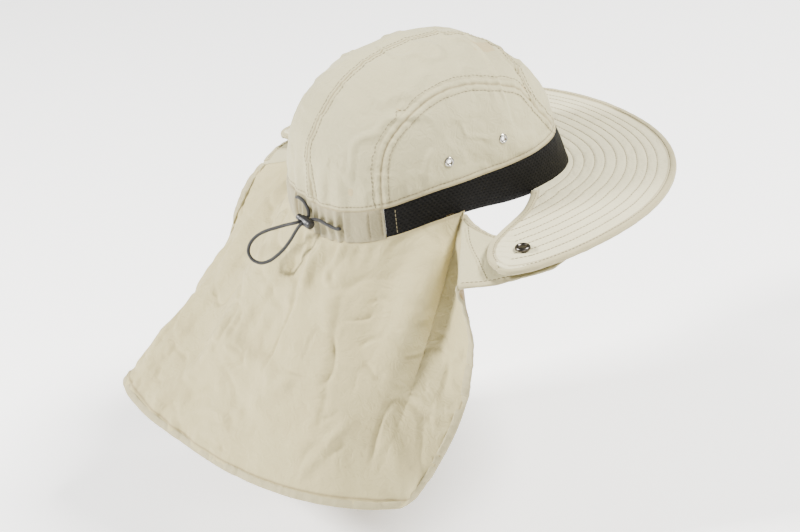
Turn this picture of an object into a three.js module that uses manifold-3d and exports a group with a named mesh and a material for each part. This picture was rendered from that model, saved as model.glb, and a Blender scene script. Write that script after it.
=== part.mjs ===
// Sun hat with a stitched brim, a mesh band and a neck flap, as it is worn.
// Millimetres. The front of the hat is -Y, the wearer's right is -X and +Z is up.
// The origin is the middle of the head opening, level with its lower edge at the back.
import * as THREE from 'three';
import { mergeVertices } from 'three/addons/utils/BufferGeometryUtils.js';
import Module from 'manifold-3d';

const wasm = await Module();
wasm.setup();

// Head opening: a rounded oblong, about 585 mm round
const rim = { halfWidth: 80, halfLength: 99.5, squareness: 2.5 };
const crown = { height: 120, base: 24, shoulder: 2.25, roundness: 2.1, wall: 1.2 };
const seamGap = 0.35;
const frontSeam = -63;
const bandWall = 1.6;
const meshStart = 47.5;
const casing = { wall: 1.2, tunnel: 2.2, mouthRight: 29.2, mouthLeft: -10.7, columns: 34 };
const eyelet = { radius: 3.6, hole: 1.6, height: 2.6 };
const brim = { halfWidth: 167, reach: 187, squareness: 2.2, edgeHeight: 5, camber: 1.6, thickness: 3, start: 114 };
const binding = { width: 5.2, thickness: 4, gap: 1.3 };
const flap = { wall: 1.2, edge: 6, edgeThickness: 2.2, bandAngle: 80, bandShare: 0.7, ribLength: 185 };
const flapSeam = { drop: 0.8, setBack: 1.6, setDown: 1.6 };
const flapCorner = { start: 0.91, rise: 0.065, bodyRise: 0.026 };
const tab = { wall: 1.4, edge: 5, edgeThickness: 2.2 };
const snap = { x: -143.5, y: 11.5, capRadius: 5.6, capHeight: 2.4, post: 1.8, hole: 2.3, flange: 5, brimTop: 9.5, tabUnder: -1.9 };
const cord = { diameter: 2.5, sides: 8, step: 4 };
const toggle = { length: 16, radius: 3.4, hole: 2.2, strandGap: 3.7, plunger: 2.5 };

// Band edges by angle from the middle of the back: height of each edge and how far the lower one flares out
const bandEdges = [
  { at: 0, low: 2, top: 26, flare: 0 },
  { at: 20, low: 2.5, top: 26.5, flare: 0 },
  { at: 35, low: 5, top: 28.5, flare: 0 },
  { at: 50, low: 9, top: 32.5, flare: 0 },
  { at: 66, low: 14.5, top: 38, flare: 0 },
  { at: 85, low: 16, top: 39.5, flare: 0 },
  { at: 103, low: 12.5, top: 39.8, flare: 0.5 },
  { at: 126, low: 10, top: 39.5, flare: 3 },
  { at: 150, low: 8, top: 38, flare: 8 },
  { at: 180, low: 7, top: 37, flare: 9 },
];

// Seam of the side panels seen from the side, from the back foot over the top to the front foot
const archSeam = [
  { y: 72.5, z: 15 }, { y: 72.2, z: 38 }, { y: 70.8, z: 51 }, { y: 67, z: 64 }, { y: 61, z: 74 },
  { y: 51, z: 83 }, { y: 38, z: 90.5 }, { y: 23.6, z: 96 }, { y: 6, z: 98.6 }, { y: -13, z: 97.5 },
  { y: -29, z: 93 }, { y: -44, z: 87.5 }, { y: -53, z: 82 }, { y: -58, z: 75 }, { y: -65, z: 64 },
  { y: -75, z: 51 }, { y: -86, z: 36 }, { y: -92, z: 15 },
];

// The centre seam leans to the wearer's right where the cord draws the back in
const centreSeam = [
  { z: 0, x: -10 }, { z: 26, x: -10 }, { z: 40, x: -8 }, { z: 55, x: -3 }, { z: 68, x: 0 }, { z: 140, x: 0 },
];

// Plan of the brim from the band round the right tip to where the long outer curve starts
const brimTip = [
  { x: -77.5, y: -42 }, { x: -86, y: -33 }, { x: -95.5, y: -21 }, { x: -103.5, y: -6 }, { x: -111, y: 9 },
  { x: -119, y: 22 }, { x: -129, y: 31.5 }, { x: -140, y: 37.5 }, { x: -151, y: 39 }, { x: -159.5, y: 35 },
  { x: -164, y: 25 }, { x: -166.5, y: 12 },
];
const tipEnd = 8;

// Neck flap by ribs from the right front edge (-1) to the left one (1): hem point, and how far
// the upper and lower thirds of the rib stand off a straight line
const flapRibs = [
  { at: -1, hemX: -115, hemY: 103, hemZ: -176, upperX: -12, upperY: -34, upperZ: 3, lowerX: -4, lowerY: -38 },
  { at: -0.85, hemX: -112, hemY: 121, hemZ: -174, upperX: -9, upperY: -18, upperZ: 0, lowerX: -4, lowerY: -26 },
  { at: -0.7, hemX: -104, hemY: 139, hemZ: -171, upperX: -6, upperY: -2, upperZ: 0, lowerX: -5, lowerY: -12 },
  { at: -0.5, hemX: -80, hemY: 164, hemZ: -167, upperX: 0, upperY: 2, upperZ: 0, lowerX: -2, lowerY: -3 },
  { at: -0.25, hemX: -42, hemY: 185, hemZ: -165, upperX: 0, upperY: 4, upperZ: 0, lowerX: 0, lowerY: 0 },
  { at: 0, hemX: 0, hemY: 196, hemZ: -165, upperX: 0, upperY: 5, upperZ: 0, lowerX: 0, lowerY: 2 },
  { at: 0.25, hemX: 46, hemY: 207, hemZ: -159, upperX: 2, upperY: 6, upperZ: 0, lowerX: 2, lowerY: 4 },
  { at: 0.5, hemX: 91, hemY: 217, hemZ: -150, upperX: 8, upperY: 6, upperZ: 0, lowerX: 6, lowerY: 4 },
  { at: 0.7, hemX: 125, hemY: 214, hemZ: -142, upperX: 12, upperY: 6, upperZ: 3, lowerX: 8, lowerY: 2 },
  { at: 0.85, hemX: 144, hemY: 184, hemZ: -146, upperX: 8, upperY: 12, upperZ: 14, lowerX: 6, lowerY: -10 },
  { at: 1, hemX: 143, hemY: 140, hemZ: -156, upperX: 5, upperY: 16, upperZ: 26, lowerX: 6, lowerY: -27 },
];

// Folds of the flap: place along the rim, half width there, height off the sheet, and the stretch
// of the rib that they cover
const flapFolds = [
  { at: -0.66, width: 0.055, depth: -13, from: 0.02, to: 0.62, lean: 0.05 },
  { at: -0.77, width: 0.06, depth: 5, from: 0.05, to: 0.6, lean: 0.02 },
  { at: -0.52, width: 0.06, depth: 4, from: 0.05, to: 0.7, lean: 0.02 },
  { at: -0.3, width: 0.05, depth: -4, from: 0.02, to: 0.45, lean: 0.1 },
  { at: -0.14, width: 0.04, depth: -4.5, from: 0.02, to: 0.4, lean: 0.08 },
  { at: -0.02, width: 0.05, depth: 3.5, from: 0.05, to: 0.8, lean: 0.05 },
  { at: 0.2, width: 0.07, depth: -4, from: 0.1, to: 0.9, lean: 0.03 },
  { at: 0.42, width: 0.07, depth: 4, from: 0.1, to: 0.95, lean: 0 },
  { at: 0.66, width: 0.06, depth: -8, from: 0.02, to: 0.6, lean: -0.03 },
];

// Tab that reaches forward under the brim tip: its ear edge and its outer edge, from the seam on
const tabSections = [
  { earX: -80.5, earY: 15.5, earZ: 13.5, outerX: -140, outerY: 63, outerZ: -4.5 },
  { earX: -92, earY: 16.5, earZ: 10.5, outerX: -153, outerY: 44, outerZ: -3.5 },
  { earX: -104, earY: 12.5, earZ: 6, outerX: -159.5, outerY: 22, outerZ: -2.5 },
  { earX: -114, earY: 2, earZ: 2.4, outerX: -163, outerY: 2, outerZ: -2 },
  { earX: -123, earY: -13, earZ: 1.5, outerX: -158, outerY: -17, outerZ: -1 },
];

// Drawcord from its left tunnel mouth through the toggle, round the loop and back to the right mouth
const cordRoute = [
  [12.6, 100.7, 22.2], [9.3, 101.3, 23.8], [4.5, 101.5, 24], [0, 101.3, 22.6], [-3.4, 101.2, 19.6],
  [-5.5, 101.6, 16.8], [-6.7, 102.8, 14.8], [-7.1, 105, 13.6], [-7.2, 108.6, 13.1], [-6.9, 111.6, 13],
  [-4.4, 114.8, 12.1], [1.5, 117.8, 9.6], [7.5, 122.3, 6.8], [13, 127, 4.2], [18, 131.6, 0.8], [21.6, 135.6, -3.6],
  [23.4, 138.6, -8.8], [23.2, 139.8, -13.8], [20, 139, -18], [14.6, 135.6, -20], [9, 130.8, -17.8],
  [4.4, 126, -13], [0.6, 121.7, -7.6], [-3.2, 117.6, -0.6], [-7, 114.2, 7], [-9.4, 111.4, 11.6],
  [-10.1, 108, 13], [-10.1, 105, 13.2], [-10.7, 102.9, 13.4], [-12.6, 101.3, 13.8], [-15.6, 100.8, 14.4],
  [-20, 100.3, 14.9], [-26, 99, 14], [-31, 97.5, 13.2], [-35, 96.2, 12.9], [-38.3, 95, 13.5],
];

function clamp(value, low, high) {
  return Math.min(Math.max(value, low), high);
}

function ease(from, to, value) {
  const share = clamp((value - from) / (to - from), 0, 1);
  return share * share * (3 - 2 * share);
}

// Smooth value of one column of a table between its rows
function along(rows, key, place, column) {
  const last = rows.length - 2;
  let i = 0;
  while (i < last && place > rows[i + 1][key]) i += 1;
  const a = rows[i];
  const b = rows[i + 1];
  const span = b[key] - a[key];
  const before = rows[Math.max(i - 1, 0)];
  const after = rows[Math.min(i + 2, last + 1)];
  const slopeA = (b[column] - before[column]) / (b[key] - before[key]) * span;
  const slopeB = (after[column] - a[column]) / (after[key] - a[key]) * span;
  const t = clamp((place - a[key]) / span, 0, 1);
  const rise = t * t * (3 - 2 * t);
  const leave = t * (1 - t) * (1 - t);
  const arrive = -t * t * (1 - t);
  return a[column] + (b[column] - a[column]) * rise + slopeA * leave + slopeB * arrive;
}

function bandEdge(angle, column) {
  const folded = Math.abs(((angle + 180) % 360 + 360) % 360 - 180);
  return along(bandEdges, 'at', folded, column);
}

// Point of the crown and band at an angle and a height, inset below the outer face
function headPoint(angle, height, inset = 0) {
  const turn = THREE.MathUtils.degToRad(angle);
  const s = Math.sin(turn);
  const c = Math.cos(turn);
  const n = rim.squareness;
  const reach = (Math.abs(c) ** n + Math.abs(s) ** n) ** (-1 / n);
  const rise = clamp((height - crown.base) / (crown.height - inset - crown.base), 0, 1);
  const shrink = (1 - rise ** crown.shoulder) ** (1 / crown.roundness);
  const low = bandEdge(angle, 'low');
  const top = bandEdge(angle, 'top');
  const flare = bandEdge(angle, 'flare') * Math.max((top - height) / (top - low), 0);
  const x = -((rim.halfWidth - inset) * shrink + flare) * reach * s;
  const y = ((rim.halfLength - inset) * shrink + flare) * reach * c;
  return new THREE.Vector3(x, y, height);
}

function geometryFrom(points, triangles) {
  let volume = 0;
  for (const [a, b, c] of triangles) volume += points[a].dot(points[b].clone().cross(points[c]));
  const order = volume > 0 ? triangles : triangles.map(([a, b, c]) => [a, c, b]);
  const geometry = new THREE.BufferGeometry();
  geometry.setAttribute('position', new THREE.Float32BufferAttribute(points.flatMap((p) => p.toArray()), 3));
  geometry.setIndex(order.flat());
  return geometry;
}

// Closed body between a face and a back, both given over 0..1 by 0..1
function sheetBody(columns, rows, faceAt, backAt) {
  const points = [];
  for (const side of [faceAt, backAt]) {
    for (let i = 0; i <= columns; i += 1) {
      for (let j = 0; j <= rows; j += 1) points.push(side(i / columns, j / rows));
    }
  }
  const count = (columns + 1) * (rows + 1);
  const at = (i, j, side) => side * count + i * (rows + 1) + j;
  const triangles = [];
  const quad = (a, b, c, d) => triangles.push([a, b, c], [a, c, d]);
  for (let i = 0; i < columns; i += 1) {
    for (let j = 0; j < rows; j += 1) {
      quad(at(i, j, 0), at(i + 1, j, 0), at(i + 1, j + 1, 0), at(i, j + 1, 0));
      quad(at(i, j, 1), at(i, j + 1, 1), at(i + 1, j + 1, 1), at(i + 1, j, 1));
    }
    quad(at(i, 0, 0), at(i, 0, 1), at(i + 1, 0, 1), at(i + 1, 0, 0));
    quad(at(i, rows, 0), at(i + 1, rows, 0), at(i + 1, rows, 1), at(i, rows, 1));
  }
  for (let j = 0; j < rows; j += 1) {
    quad(at(0, j, 0), at(0, j + 1, 0), at(0, j + 1, 1), at(0, j, 1));
    quad(at(columns, j, 0), at(columns, j, 1), at(columns, j + 1, 1), at(columns, j + 1, 0));
  }
  return geometryFrom(points, triangles);
}

function normalAt(pointAt, u, v) {
  const d = 0.004;
  const across = pointAt(Math.min(u + d, 1), v).sub(pointAt(Math.max(u - d, 0), v));
  const down = pointAt(u, Math.min(v + d, 1)).sub(pointAt(u, Math.max(v - d, 0)));
  return across.cross(down).normalize();
}

// Cloth of one thickness with the given surface in its middle
function clothBody(columns, rows, pointAt, thickness) {
  const side = (sign) => (u, v) => pointAt(u, v).addScaledVector(normalAt(pointAt, u, v), sign * thickness / 2);
  return sheetBody(columns, rows, side(1), side(-1));
}

// Folded edge tape: an oval strip that runs from the edge inwards over the cloth
function tapeBody(edge, inward, normal, width, thickness) {
  const outline = [[0, 0], [0.16, 0.42], [0.84, 0.5], [1, 0], [0.84, -0.5], [0.16, -0.42]];
  const points = [];
  edge.forEach((point, i) => {
    for (const [across, up] of outline) {
      points.push(point.clone().addScaledVector(inward[i], across * width).addScaledVector(normal[i], up * thickness));
    }
  });
  const sides = outline.length;
  const triangles = [];
  for (let i = 0; i < edge.length - 1; i += 1) {
    for (let k = 0; k < sides; k += 1) {
      const a = i * sides + k;
      const b = i * sides + (k + 1) % sides;
      triangles.push([a, a + sides, b + sides], [a, b + sides, b]);
    }
  }
  const end = (edge.length - 1) * sides;
  for (let k = 1; k < sides - 1; k += 1) triangles.push([0, k, k + 1], [end, end + k + 1, end + k]);
  return geometryFrom(points, triangles);
}

function solidOf(geometry) {
  const bare = geometry.clone();
  bare.deleteAttribute('normal');
  bare.deleteAttribute('uv');
  const merged = mergeVertices(bare, 1e-4);
  const mesh = new wasm.Mesh({
    numProp: 3,
    vertProperties: new Float32Array(merged.attributes.position.array),
    triVerts: new Uint32Array(merged.index.array),
  });
  return new wasm.Manifold(mesh);
}

function geometryOf(solid) {
  const mesh = solid.getMesh();
  const geometry = new THREE.BufferGeometry();
  geometry.setAttribute('position', new THREE.BufferAttribute(new Float32Array(mesh.vertProperties), 3));
  geometry.setIndex(new THREE.BufferAttribute(new Uint32Array(mesh.triVerts), 1));
  return geometry;
}

// Prism of an outline given as pairs, pushed along X (from the side) or along Y (from the front)
function prism(pairs, axis, reach) {
  const shape = new THREE.Shape(pairs.map(([a, b]) => new THREE.Vector2(a, b)));
  const geometry = new THREE.ExtrudeGeometry(shape, { depth: 2 * reach, bevelEnabled: false });
  geometry.translate(0, 0, -reach);
  if (axis === 'x') geometry.applyMatrix4(new THREE.Matrix4().set(0, 0, 1, 0, 1, 0, 0, 0, 0, 1, 0, 0, 0, 0, 0, 1));
  if (axis === 'y') geometry.rotateX(Math.PI / 2);
  return solidOf(geometry);
}

function box(from, to) {
  const size = to.map((value, i) => value - from[i]);
  const geometry = new THREE.BoxGeometry(...size);
  geometry.translate(...from.map((value, i) => value + size[i] / 2));
  return solidOf(geometry);
}

// The whole crown as one domed wall above the band
function crownShell() {
  const around = 44;
  const up = 9;
  const points = [];
  for (const inset of [0, crown.wall]) {
    for (let j = 0; j < up; j += 1) {
      for (let i = 0; i < around; i += 1) {
        const angle = i * 360 / around;
        const foot = bandEdge(angle, 'top') + seamGap;
        const rise = Math.sin(j / up * Math.PI / 2);
        points.push(headPoint(angle, foot + (crown.height - inset - foot) * rise, inset));
      }
    }
    points.push(new THREE.Vector3(0, 0, crown.height - inset));
  }
  const layer = around * up + 1;
  const triangles = [];
  for (const side of [0, 1]) {
    const at = (i, j) => side * layer + j * around + i % around;
    const add = (a, b, c) => triangles.push(side === 0 ? [a, b, c] : [a, c, b]);
    for (let i = 0; i < around; i += 1) {
      for (let j = 0; j < up - 1; j += 1) {
        add(at(i, j), at(i + 1, j), at(i + 1, j + 1));
        add(at(i, j), at(i + 1, j + 1), at(i, j + 1));
      }
      add(at(i, up - 1), at(i + 1, up - 1), side * layer + layer - 1);
    }
  }
  for (let i = 0; i < around; i += 1) {
    const next = (i + 1) % around;
    triangles.push([i, layer + i, layer + next], [i, layer + next, next]);
  }
  return solidOf(geometryFrom(points, triangles));
}

function archPrism(grow) {
  const middle = [0, 40];
  const pairs = archSeam.map(({ y, z }) => {
    const away = new THREE.Vector2(y - middle[0], z - middle[1]).normalize().multiplyScalar(grow);
    return [y + away.x, z + away.y];
  });
  return prism(pairs, 'x', 200);
}

function centreSlab(side) {
  const line = centreSeam.map(({ x, z }) => [x + side * seamGap / 2, z]);
  return prism([...line, [side * 200, 140], [side * 200, 0]], 'y', 200);
}

function crownPanels() {
  const shell = crownShell();
  const sides = shell.intersect(archPrism(-seamGap / 2));
  const rest = shell.subtract(archPrism(seamGap / 2));
  const top = rest.intersect(box([-200, frontSeam + seamGap / 2, -10], [200, 200, 200]));
  const front = rest.intersect(box([-200, -200, -10], [200, frontSeam - seamGap / 2, 200]));
  return {
    front_panel: front,
    top_panel_right: top.intersect(centreSlab(-1)),
    top_panel_left: top.intersect(centreSlab(1)),
    side_panel_right: sides.intersect(box([-200, -200, -10], [0, 200, 200])),
    side_panel_left: sides.intersect(box([0, -200, -10], [200, 200, 200])),
  };
}

// Place and outward direction of an eyelet on a side panel
function eyeletSeat(y, z, side) {
  let angle = 90;
  for (let i = 0; i < 30; i += 1) angle -= (y - headPoint(angle, z).y) * 0.5;
  const place = headPoint(angle, z);
  const ahead = headPoint(angle + 1, z).sub(place);
  const above = headPoint(angle, z + 1).sub(place);
  const outward = above.cross(ahead).normalize();
  if (outward.x > 0) outward.negate();
  if (side > 0) {
    place.x *= -1;
    outward.x *= -1;
  }
  return { place, outward };
}

function pointAlong(geometry, place, direction) {
  const turn = new THREE.Quaternion().setFromUnitVectors(new THREE.Vector3(0, 1, 0), direction);
  return geometry.applyQuaternion(turn).translate(place.x, place.y, place.z);
}

// Turned body about Y, from a profile that may run either way
function lathe(profile, sides) {
  const turned = (pairs) => new THREE.LatheGeometry(pairs.map(([x, y]) => new THREE.Vector2(x, y)), sides);
  const area = profile.reduce((sum, [x, y], i) => {
    const [nextX, nextY] = profile[(i + 1) % profile.length];
    return sum + x * nextY - nextX * y;
  }, 0);
  return turned(area > 0 ? profile : [...profile].reverse());
}

// Metal ring with an inner and an outer flange gripping the cloth through its hole
function eyeletRing() {
  const { radius, hole, height } = eyelet;
  const half = height / 2;
  const lip = crown.wall / 2 + 0.6;
  const waist = hole + 0.7;
  const profile = [
    [hole, -half + 0.3], [hole, half - 0.3], [hole + 0.5, half], [radius - 0.4, lip + 0.35], [radius, lip],
    [waist, lip], [waist, -lip], [radius, -lip], [radius - 0.4, -lip - 0.35], [hole + 0.5, -half], [hole, -half + 0.3],
  ];
  return lathe(profile, 10);
}

// Oblong of the outer curve of the brim, from the right side (0) round the front to the left (1)
function brimCurve(share) {
  const turn = Math.PI * share;
  const s = Math.cos(turn);
  const c = Math.sin(turn);
  const n = brim.squareness;
  const reach = (Math.abs(c) ** n + Math.abs(s) ** n) ** (-1 / n);
  return new THREE.Vector2(-brim.halfWidth * reach * s, -brim.reach * reach * c);
}

// Outline of the brim pulled in by a distance: both ear edges and the outer edge between the tips
function brimOutline(pull) {
  const tip = new THREE.SplineCurve(brimTip.map(({ x, y }) => new THREE.Vector2(x, y)));
  const right = tip.getPoints(44);
  const apex = Math.round(44 * tipEnd / (brimTip.length - 1));
  const curve = [];
  for (let i = 0; i <= 80; i += 1) curve.push(brimCurve(i / 80));
  const left = right.map((p) => new THREE.Vector2(-p.x, p.y)).reverse();
  const whole = [...right, ...curve.slice(1, -1), ...left];
  const pulled = whole.map((p, i) => {
    const before = whole[Math.max(i - 1, 0)];
    const after = whole[Math.min(i + 1, whole.length - 1)];
    const ahead = after.clone().sub(before).normalize();
    return new THREE.Vector2(p.x - ahead.y * pull, p.y + ahead.x * pull);
  });
  const end = whole.length - 1 - apex;
  return { right: pulled.slice(0, apex + 1), outer: pulled.slice(apex, end + 1), left: pulled.slice(end) };
}

function spread(points, count) {
  const lengths = [0];
  for (let i = 1; i < points.length; i += 1) lengths.push(lengths[i - 1] + points[i].distanceTo(points[i - 1]));
  const total = lengths[lengths.length - 1];
  const result = [];
  for (let k = 0; k <= count; k += 1) {
    const want = total * k / count;
    let i = 1;
    while (i < points.length - 1 && lengths[i] < want) i += 1;
    const part = (want - lengths[i - 1]) / (lengths[i] - lengths[i - 1]);
    result.push(points[i - 1].clone().lerp(points[i], part));
  }
  return result;
}

// Height of the brim's middle layer where it leaves the band, and out along the ear edge
function brimRootHeight(point) {
  const angle = THREE.MathUtils.radToDeg(Math.atan2(-point.x / rim.halfWidth, point.y / rim.halfLength));
  const band = bandEdge(Math.max(Math.abs(angle), brim.start), 'low');
  const away = clamp((Math.abs(point.x) - rim.halfWidth) / (brim.halfWidth - rim.halfWidth), 0, 1);
  return band + (brim.edgeHeight + 1 - band) * Math.cbrt(away);
}

// Root line of the brim: ear edge, along the band, and the other ear edge
function brimRoot(pull, count) {
  const outline = brimOutline(pull);
  const margin = pull * 0.75;
  const line = outline.right.slice(4, -1).reverse();
  for (let angle = brim.start + margin; angle <= 360 - brim.start - margin; angle += 4) {
    const point = headPoint(angle, bandEdge(angle, 'low'), -0.5);
    line.push(new THREE.Vector2(point.x, point.y));
  }
  line.push(...outline.left.slice(1, -4).reverse());
  return spread(line, count);
}

function brimSurface(pull, columns) {
  const root = brimRoot(pull, columns);
  const edge = spread(brimOutline(pull).outer.slice(1, -1), columns);
  return (u, v) => {
    const at = u * columns;
    const i = Math.min(Math.floor(at), columns - 1);
    const from = root[i].clone().lerp(root[i + 1], at - i);
    const to = edge[i].clone().lerp(edge[i + 1], at - i);
    const plan = from.clone().lerp(to, v);
    const height = THREE.MathUtils.lerp(brimRootHeight(from), brim.edgeHeight, v) + brim.camber * Math.sin(Math.PI * v);
    return new THREE.Vector3(plan.x, plan.y, height);
  };
}

function brimBody() {
  const columns = 52;
  const pointAt = brimSurface(binding.width + binding.gap, columns);
  const side = (sign) => (u, v) => pointAt(u, v).add(new THREE.Vector3(0, 0, sign * brim.thickness / 2));
  return sheetBody(columns, 3, side(1), side(-1));
}

// Height of the brim's middle layer along its own outline
function outlineHeight(point, isEar) {
  return isEar ? brimRootHeight(point) : brim.edgeHeight;
}

function brimBinding() {
  const outer = brimOutline(0);
  const inner = brimOutline(binding.width);
  const joined = (o) => [...o.right.slice(3), ...o.outer.slice(1, -1), ...o.left.slice(0, -3)];
  const outerLine = joined(outer);
  const innerLine = joined(inner);
  const ears = outer.right.length - 3;
  const edge = [];
  const inward = [];
  const normal = [];
  outerLine.forEach((point, i) => {
    if (i % 2 === 1 && i > 2 && i < outerLine.length - 3) return;
    const isEar = i < ears || i > outerLine.length - 1 - ears;
    edge.push(new THREE.Vector3(point.x, point.y, outlineHeight(point, isEar)));
    const into = innerLine[i].clone().sub(point).normalize();
    inward.push(new THREE.Vector3(into.x, into.y, 0));
    normal.push(new THREE.Vector3(0, 0, 1));
  });
  return tapeBody(edge, inward, normal, binding.width, binding.thickness);
}

// Upper edge of the flap: along the band, then out along the seam of the tab
function flapTop(place) {
  const side = Math.sign(place);
  const share = Math.abs(place) / flap.bandShare;
  if (share <= 1) {
    const angle = -place / flap.bandShare * flap.bandAngle;
    return headPoint(angle, bandEdge(angle, 'low') - flapSeam.drop, 0.2);
  }
  const corner = headPoint(flap.bandAngle, bandEdge(flap.bandAngle, 'low') - flapSeam.drop, 0.2);
  const end = tabSections[0];
  const t = (share - 1) / (1 / flap.bandShare - 1);
  const x = THREE.MathUtils.lerp(corner.x, end.outerX, t);
  const y = THREE.MathUtils.lerp(corner.y, end.outerY + flapSeam.setBack, t);
  const z = THREE.MathUtils.lerp(corner.z, end.outerZ, t) - flapSeam.setDown * t;
  return new THREE.Vector3(-side * x, y, z);
}

function flapPlain(place, share) {
  const top = flapTop(place);
  const rib = (column) => along(flapRibs, 'at', place, column);
  const hem = new THREE.Vector3(rib('hemX'), rib('hemY'), rib('hemZ'));
  const upper = top.clone().lerp(hem, 1 / 3).add(new THREE.Vector3(rib('upperX'), rib('upperY'), rib('upperZ')));
  const lower = top.clone().lerp(hem, 2 / 3).add(new THREE.Vector3(rib('lowerX'), rib('lowerY'), 0));
  return new THREE.CubicBezierCurve3(top, upper, lower, hem).getPoint(share);
}

function foldHeight(place, share) {
  return flapFolds.reduce((sum, fold) => {
    const middle = fold.at + fold.lean * share;
    const across = (place - middle) / (fold.width * (1 + share));
    const fade = ease(fold.from, fold.from + 0.12, share) * (1 - ease(fold.to - 0.3, fold.to, share));
    return sum + fold.depth * Math.exp(-across * across) * fade;
  }, 0);
}

// Surface of the flap with its folds; place runs -1..1 round the wearer, share 0..1 down the cloth
function flapPoint(place, share) {
  const turn = clamp((Math.abs(place) - flapCorner.start) / (1 - flapCorner.start), 0, 1);
  const v = share * (1 - flapCorner.rise * (1 - Math.sqrt(1 - turn * turn)));
  const point = flapPlain(place, v);
  const d = 0.01;
  const across = flapPlain(Math.min(place + d, 1), v).sub(flapPlain(Math.max(place - d, -1), v));
  const down = flapPlain(place, v + d).sub(flapPlain(place, Math.max(v - d, 0)));
  const outward = down.cross(across).normalize();
  return point.addScaledVector(outward, foldHeight(place, v));
}

function flapBody() {
  const inset = flap.edge + 1;
  const pointAt = (u, v) => {
    const plain = -1 + 2 * u;
    const round = 1 - flapCorner.bodyRise * ease(0.8, 1, Math.abs(plain)) ** 2;
    const share = v * round * (1 - inset / flap.ribLength);
    const end = plain < 0 ? -1 : 1;
    const step = 0.05;
    const rim = flapPoint(end, share);
    const down = flapPoint(end, Math.min(share + step, 1)).sub(flapPoint(end, Math.max(share - step, 0))).normalize();
    const across = flapPoint(end * (1 - step), share).sub(rim);
    const apart = across.addScaledVector(down, -across.dot(down)).length();
    return flapPoint(plain * (1 - inset * step / apart), share);
  };
  return clothBody(46, 10, pointAt, flap.wall);
}

// Tape along the right front edge, the hem and the left front edge
function flapBinding() {
  const half = [];
  for (let i = 0; i <= 12; i += 1) half.push([1, i / 12]);
  for (let i = 3; i >= 0; i -= 1) half.push([flapCorner.start + (1 - flapCorner.start) * Math.sin(i / 4 * Math.PI / 2), 1]);
  for (let i = 17; i > 0; i -= 1) half.push([flapCorner.start * i / 18, 1]);
  const path = [...half.map(([place, share]) => [-place, share]), [0, 1], ...half.reverse()];
  const edge = path.map(([place, share]) => flapPoint(place, share));
  const ahead = edge.map((point, i) => {
    const after = edge[Math.min(i + 1, edge.length - 1)];
    return after.clone().sub(edge[Math.max(i - 1, 0)]).normalize();
  });
  const inward = path.map(([place, share], i) => {
    const isCorner = Math.abs(place) > flapCorner.start && share > 0.9;
    const isHem = share === 1 && !isCorner;
    const inside = flapPoint(isHem ? place : place * 0.96, isHem || isCorner ? share * 0.97 : share);
    const into = inside.sub(edge[i]);
    return into.addScaledVector(ahead[i], -into.dot(ahead[i])).normalize();
  });
  const normal = inward.map((into, i) => ahead[i].clone().cross(into).normalize());
  return tapeBody(edge, inward, normal, flap.edge, flap.edgeThickness);
}

// Tab panel under one brim tip; side is -1 for the wearer's right
function tabSection(u, side) {
  const at = u * (tabSections.length - 1);
  const rows = tabSections.map((row, i) => ({ at: i, ...row }));
  const value = (column) => along(rows, 'at', at, column);
  return {
    ear: new THREE.Vector3(-side * value('earX'), value('earY'), value('earZ')),
    outer: new THREE.Vector3(-side * value('outerX'), value('outerY'), value('outerZ')),
  };
}

function tabBody(side) {
  const pointAt = (u, v) => {
    const { ear, outer } = tabSection(u, side);
    const start = (tab.edge + 0.5) / ear.distanceTo(outer);
    return ear.lerp(outer, start + (1 - start) * v);
  };
  return clothBody(10, 3, pointAt, tab.wall);
}

function earBinding(side) {
  const count = 12;
  const edge = [];
  const inward = [];
  for (let i = 0; i <= count; i += 1) {
    const { ear, outer } = tabSection(i / count, side);
    edge.push(ear);
    inward.push(outer.sub(ear).normalize());
  }
  const normal = edge.map((point, i) => {
    const ahead = edge[Math.min(i + 1, count)].clone().sub(edge[Math.max(i - 1, 0)]).normalize();
    return inward[i].clone().cross(ahead).normalize();
  });
  return tapeBody(edge, inward, normal, tab.edge, tab.edgeThickness);
}

function meshBand() {
  const columns = 36;
  const span = 360 - 2 * meshStart;
  const face = (inset) => (u, v) => {
    const angle = meshStart + span * u;
    const low = bandEdge(angle, 'low');
    return headPoint(angle, low + (bandEdge(angle, 'top') - low) * v, inset);
  };
  return sheetBody(columns, 2, face(0), face(bandWall));
}

// Cloth tunnel across the back, thick where the cord runs inside and thin between its two mouths
function rearCasing() {
  const end = meshStart - 0.3;
  const stations = [casing.mouthRight, casing.mouthLeft].flatMap((angle) => [angle - 0.5, angle + 0.5]);
  for (let i = 0; i <= casing.columns; i += 1) stations.push(-end + 2 * end * i / casing.columns);
  stations.sort((a, b) => a - b);
  const columns = stations.length - 1;
  const pointAt = (u, v, inset) => {
    const angle = stations[Math.round(u * columns)];
    const low = bandEdge(angle, 'low');
    return headPoint(angle, low + (bandEdge(angle, 'top') - low) * v, inset);
  };
  const raise = (u, v) => {
    const angle = stations[Math.round(u * columns)];
    const isFlat = angle > casing.mouthLeft && angle < casing.mouthRight;
    return isFlat ? 0 : casing.tunnel * Math.sin(Math.PI * v) ** 0.5 * ease(end, end - 8, Math.abs(angle));
  };
  return sheetBody(columns, 3, (u, v) => pointAt(u, v, -raise(u, v)), (u, v) => pointAt(u, v, casing.wall));
}

// Snap: domed cap over the brim tip, a post through brim and tab, and a flange under the tab
function snapSeat(side) {
  return { x: -side * snap.x, y: snap.y, top: snap.brimTop, under: snap.tabUnder };
}

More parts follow.
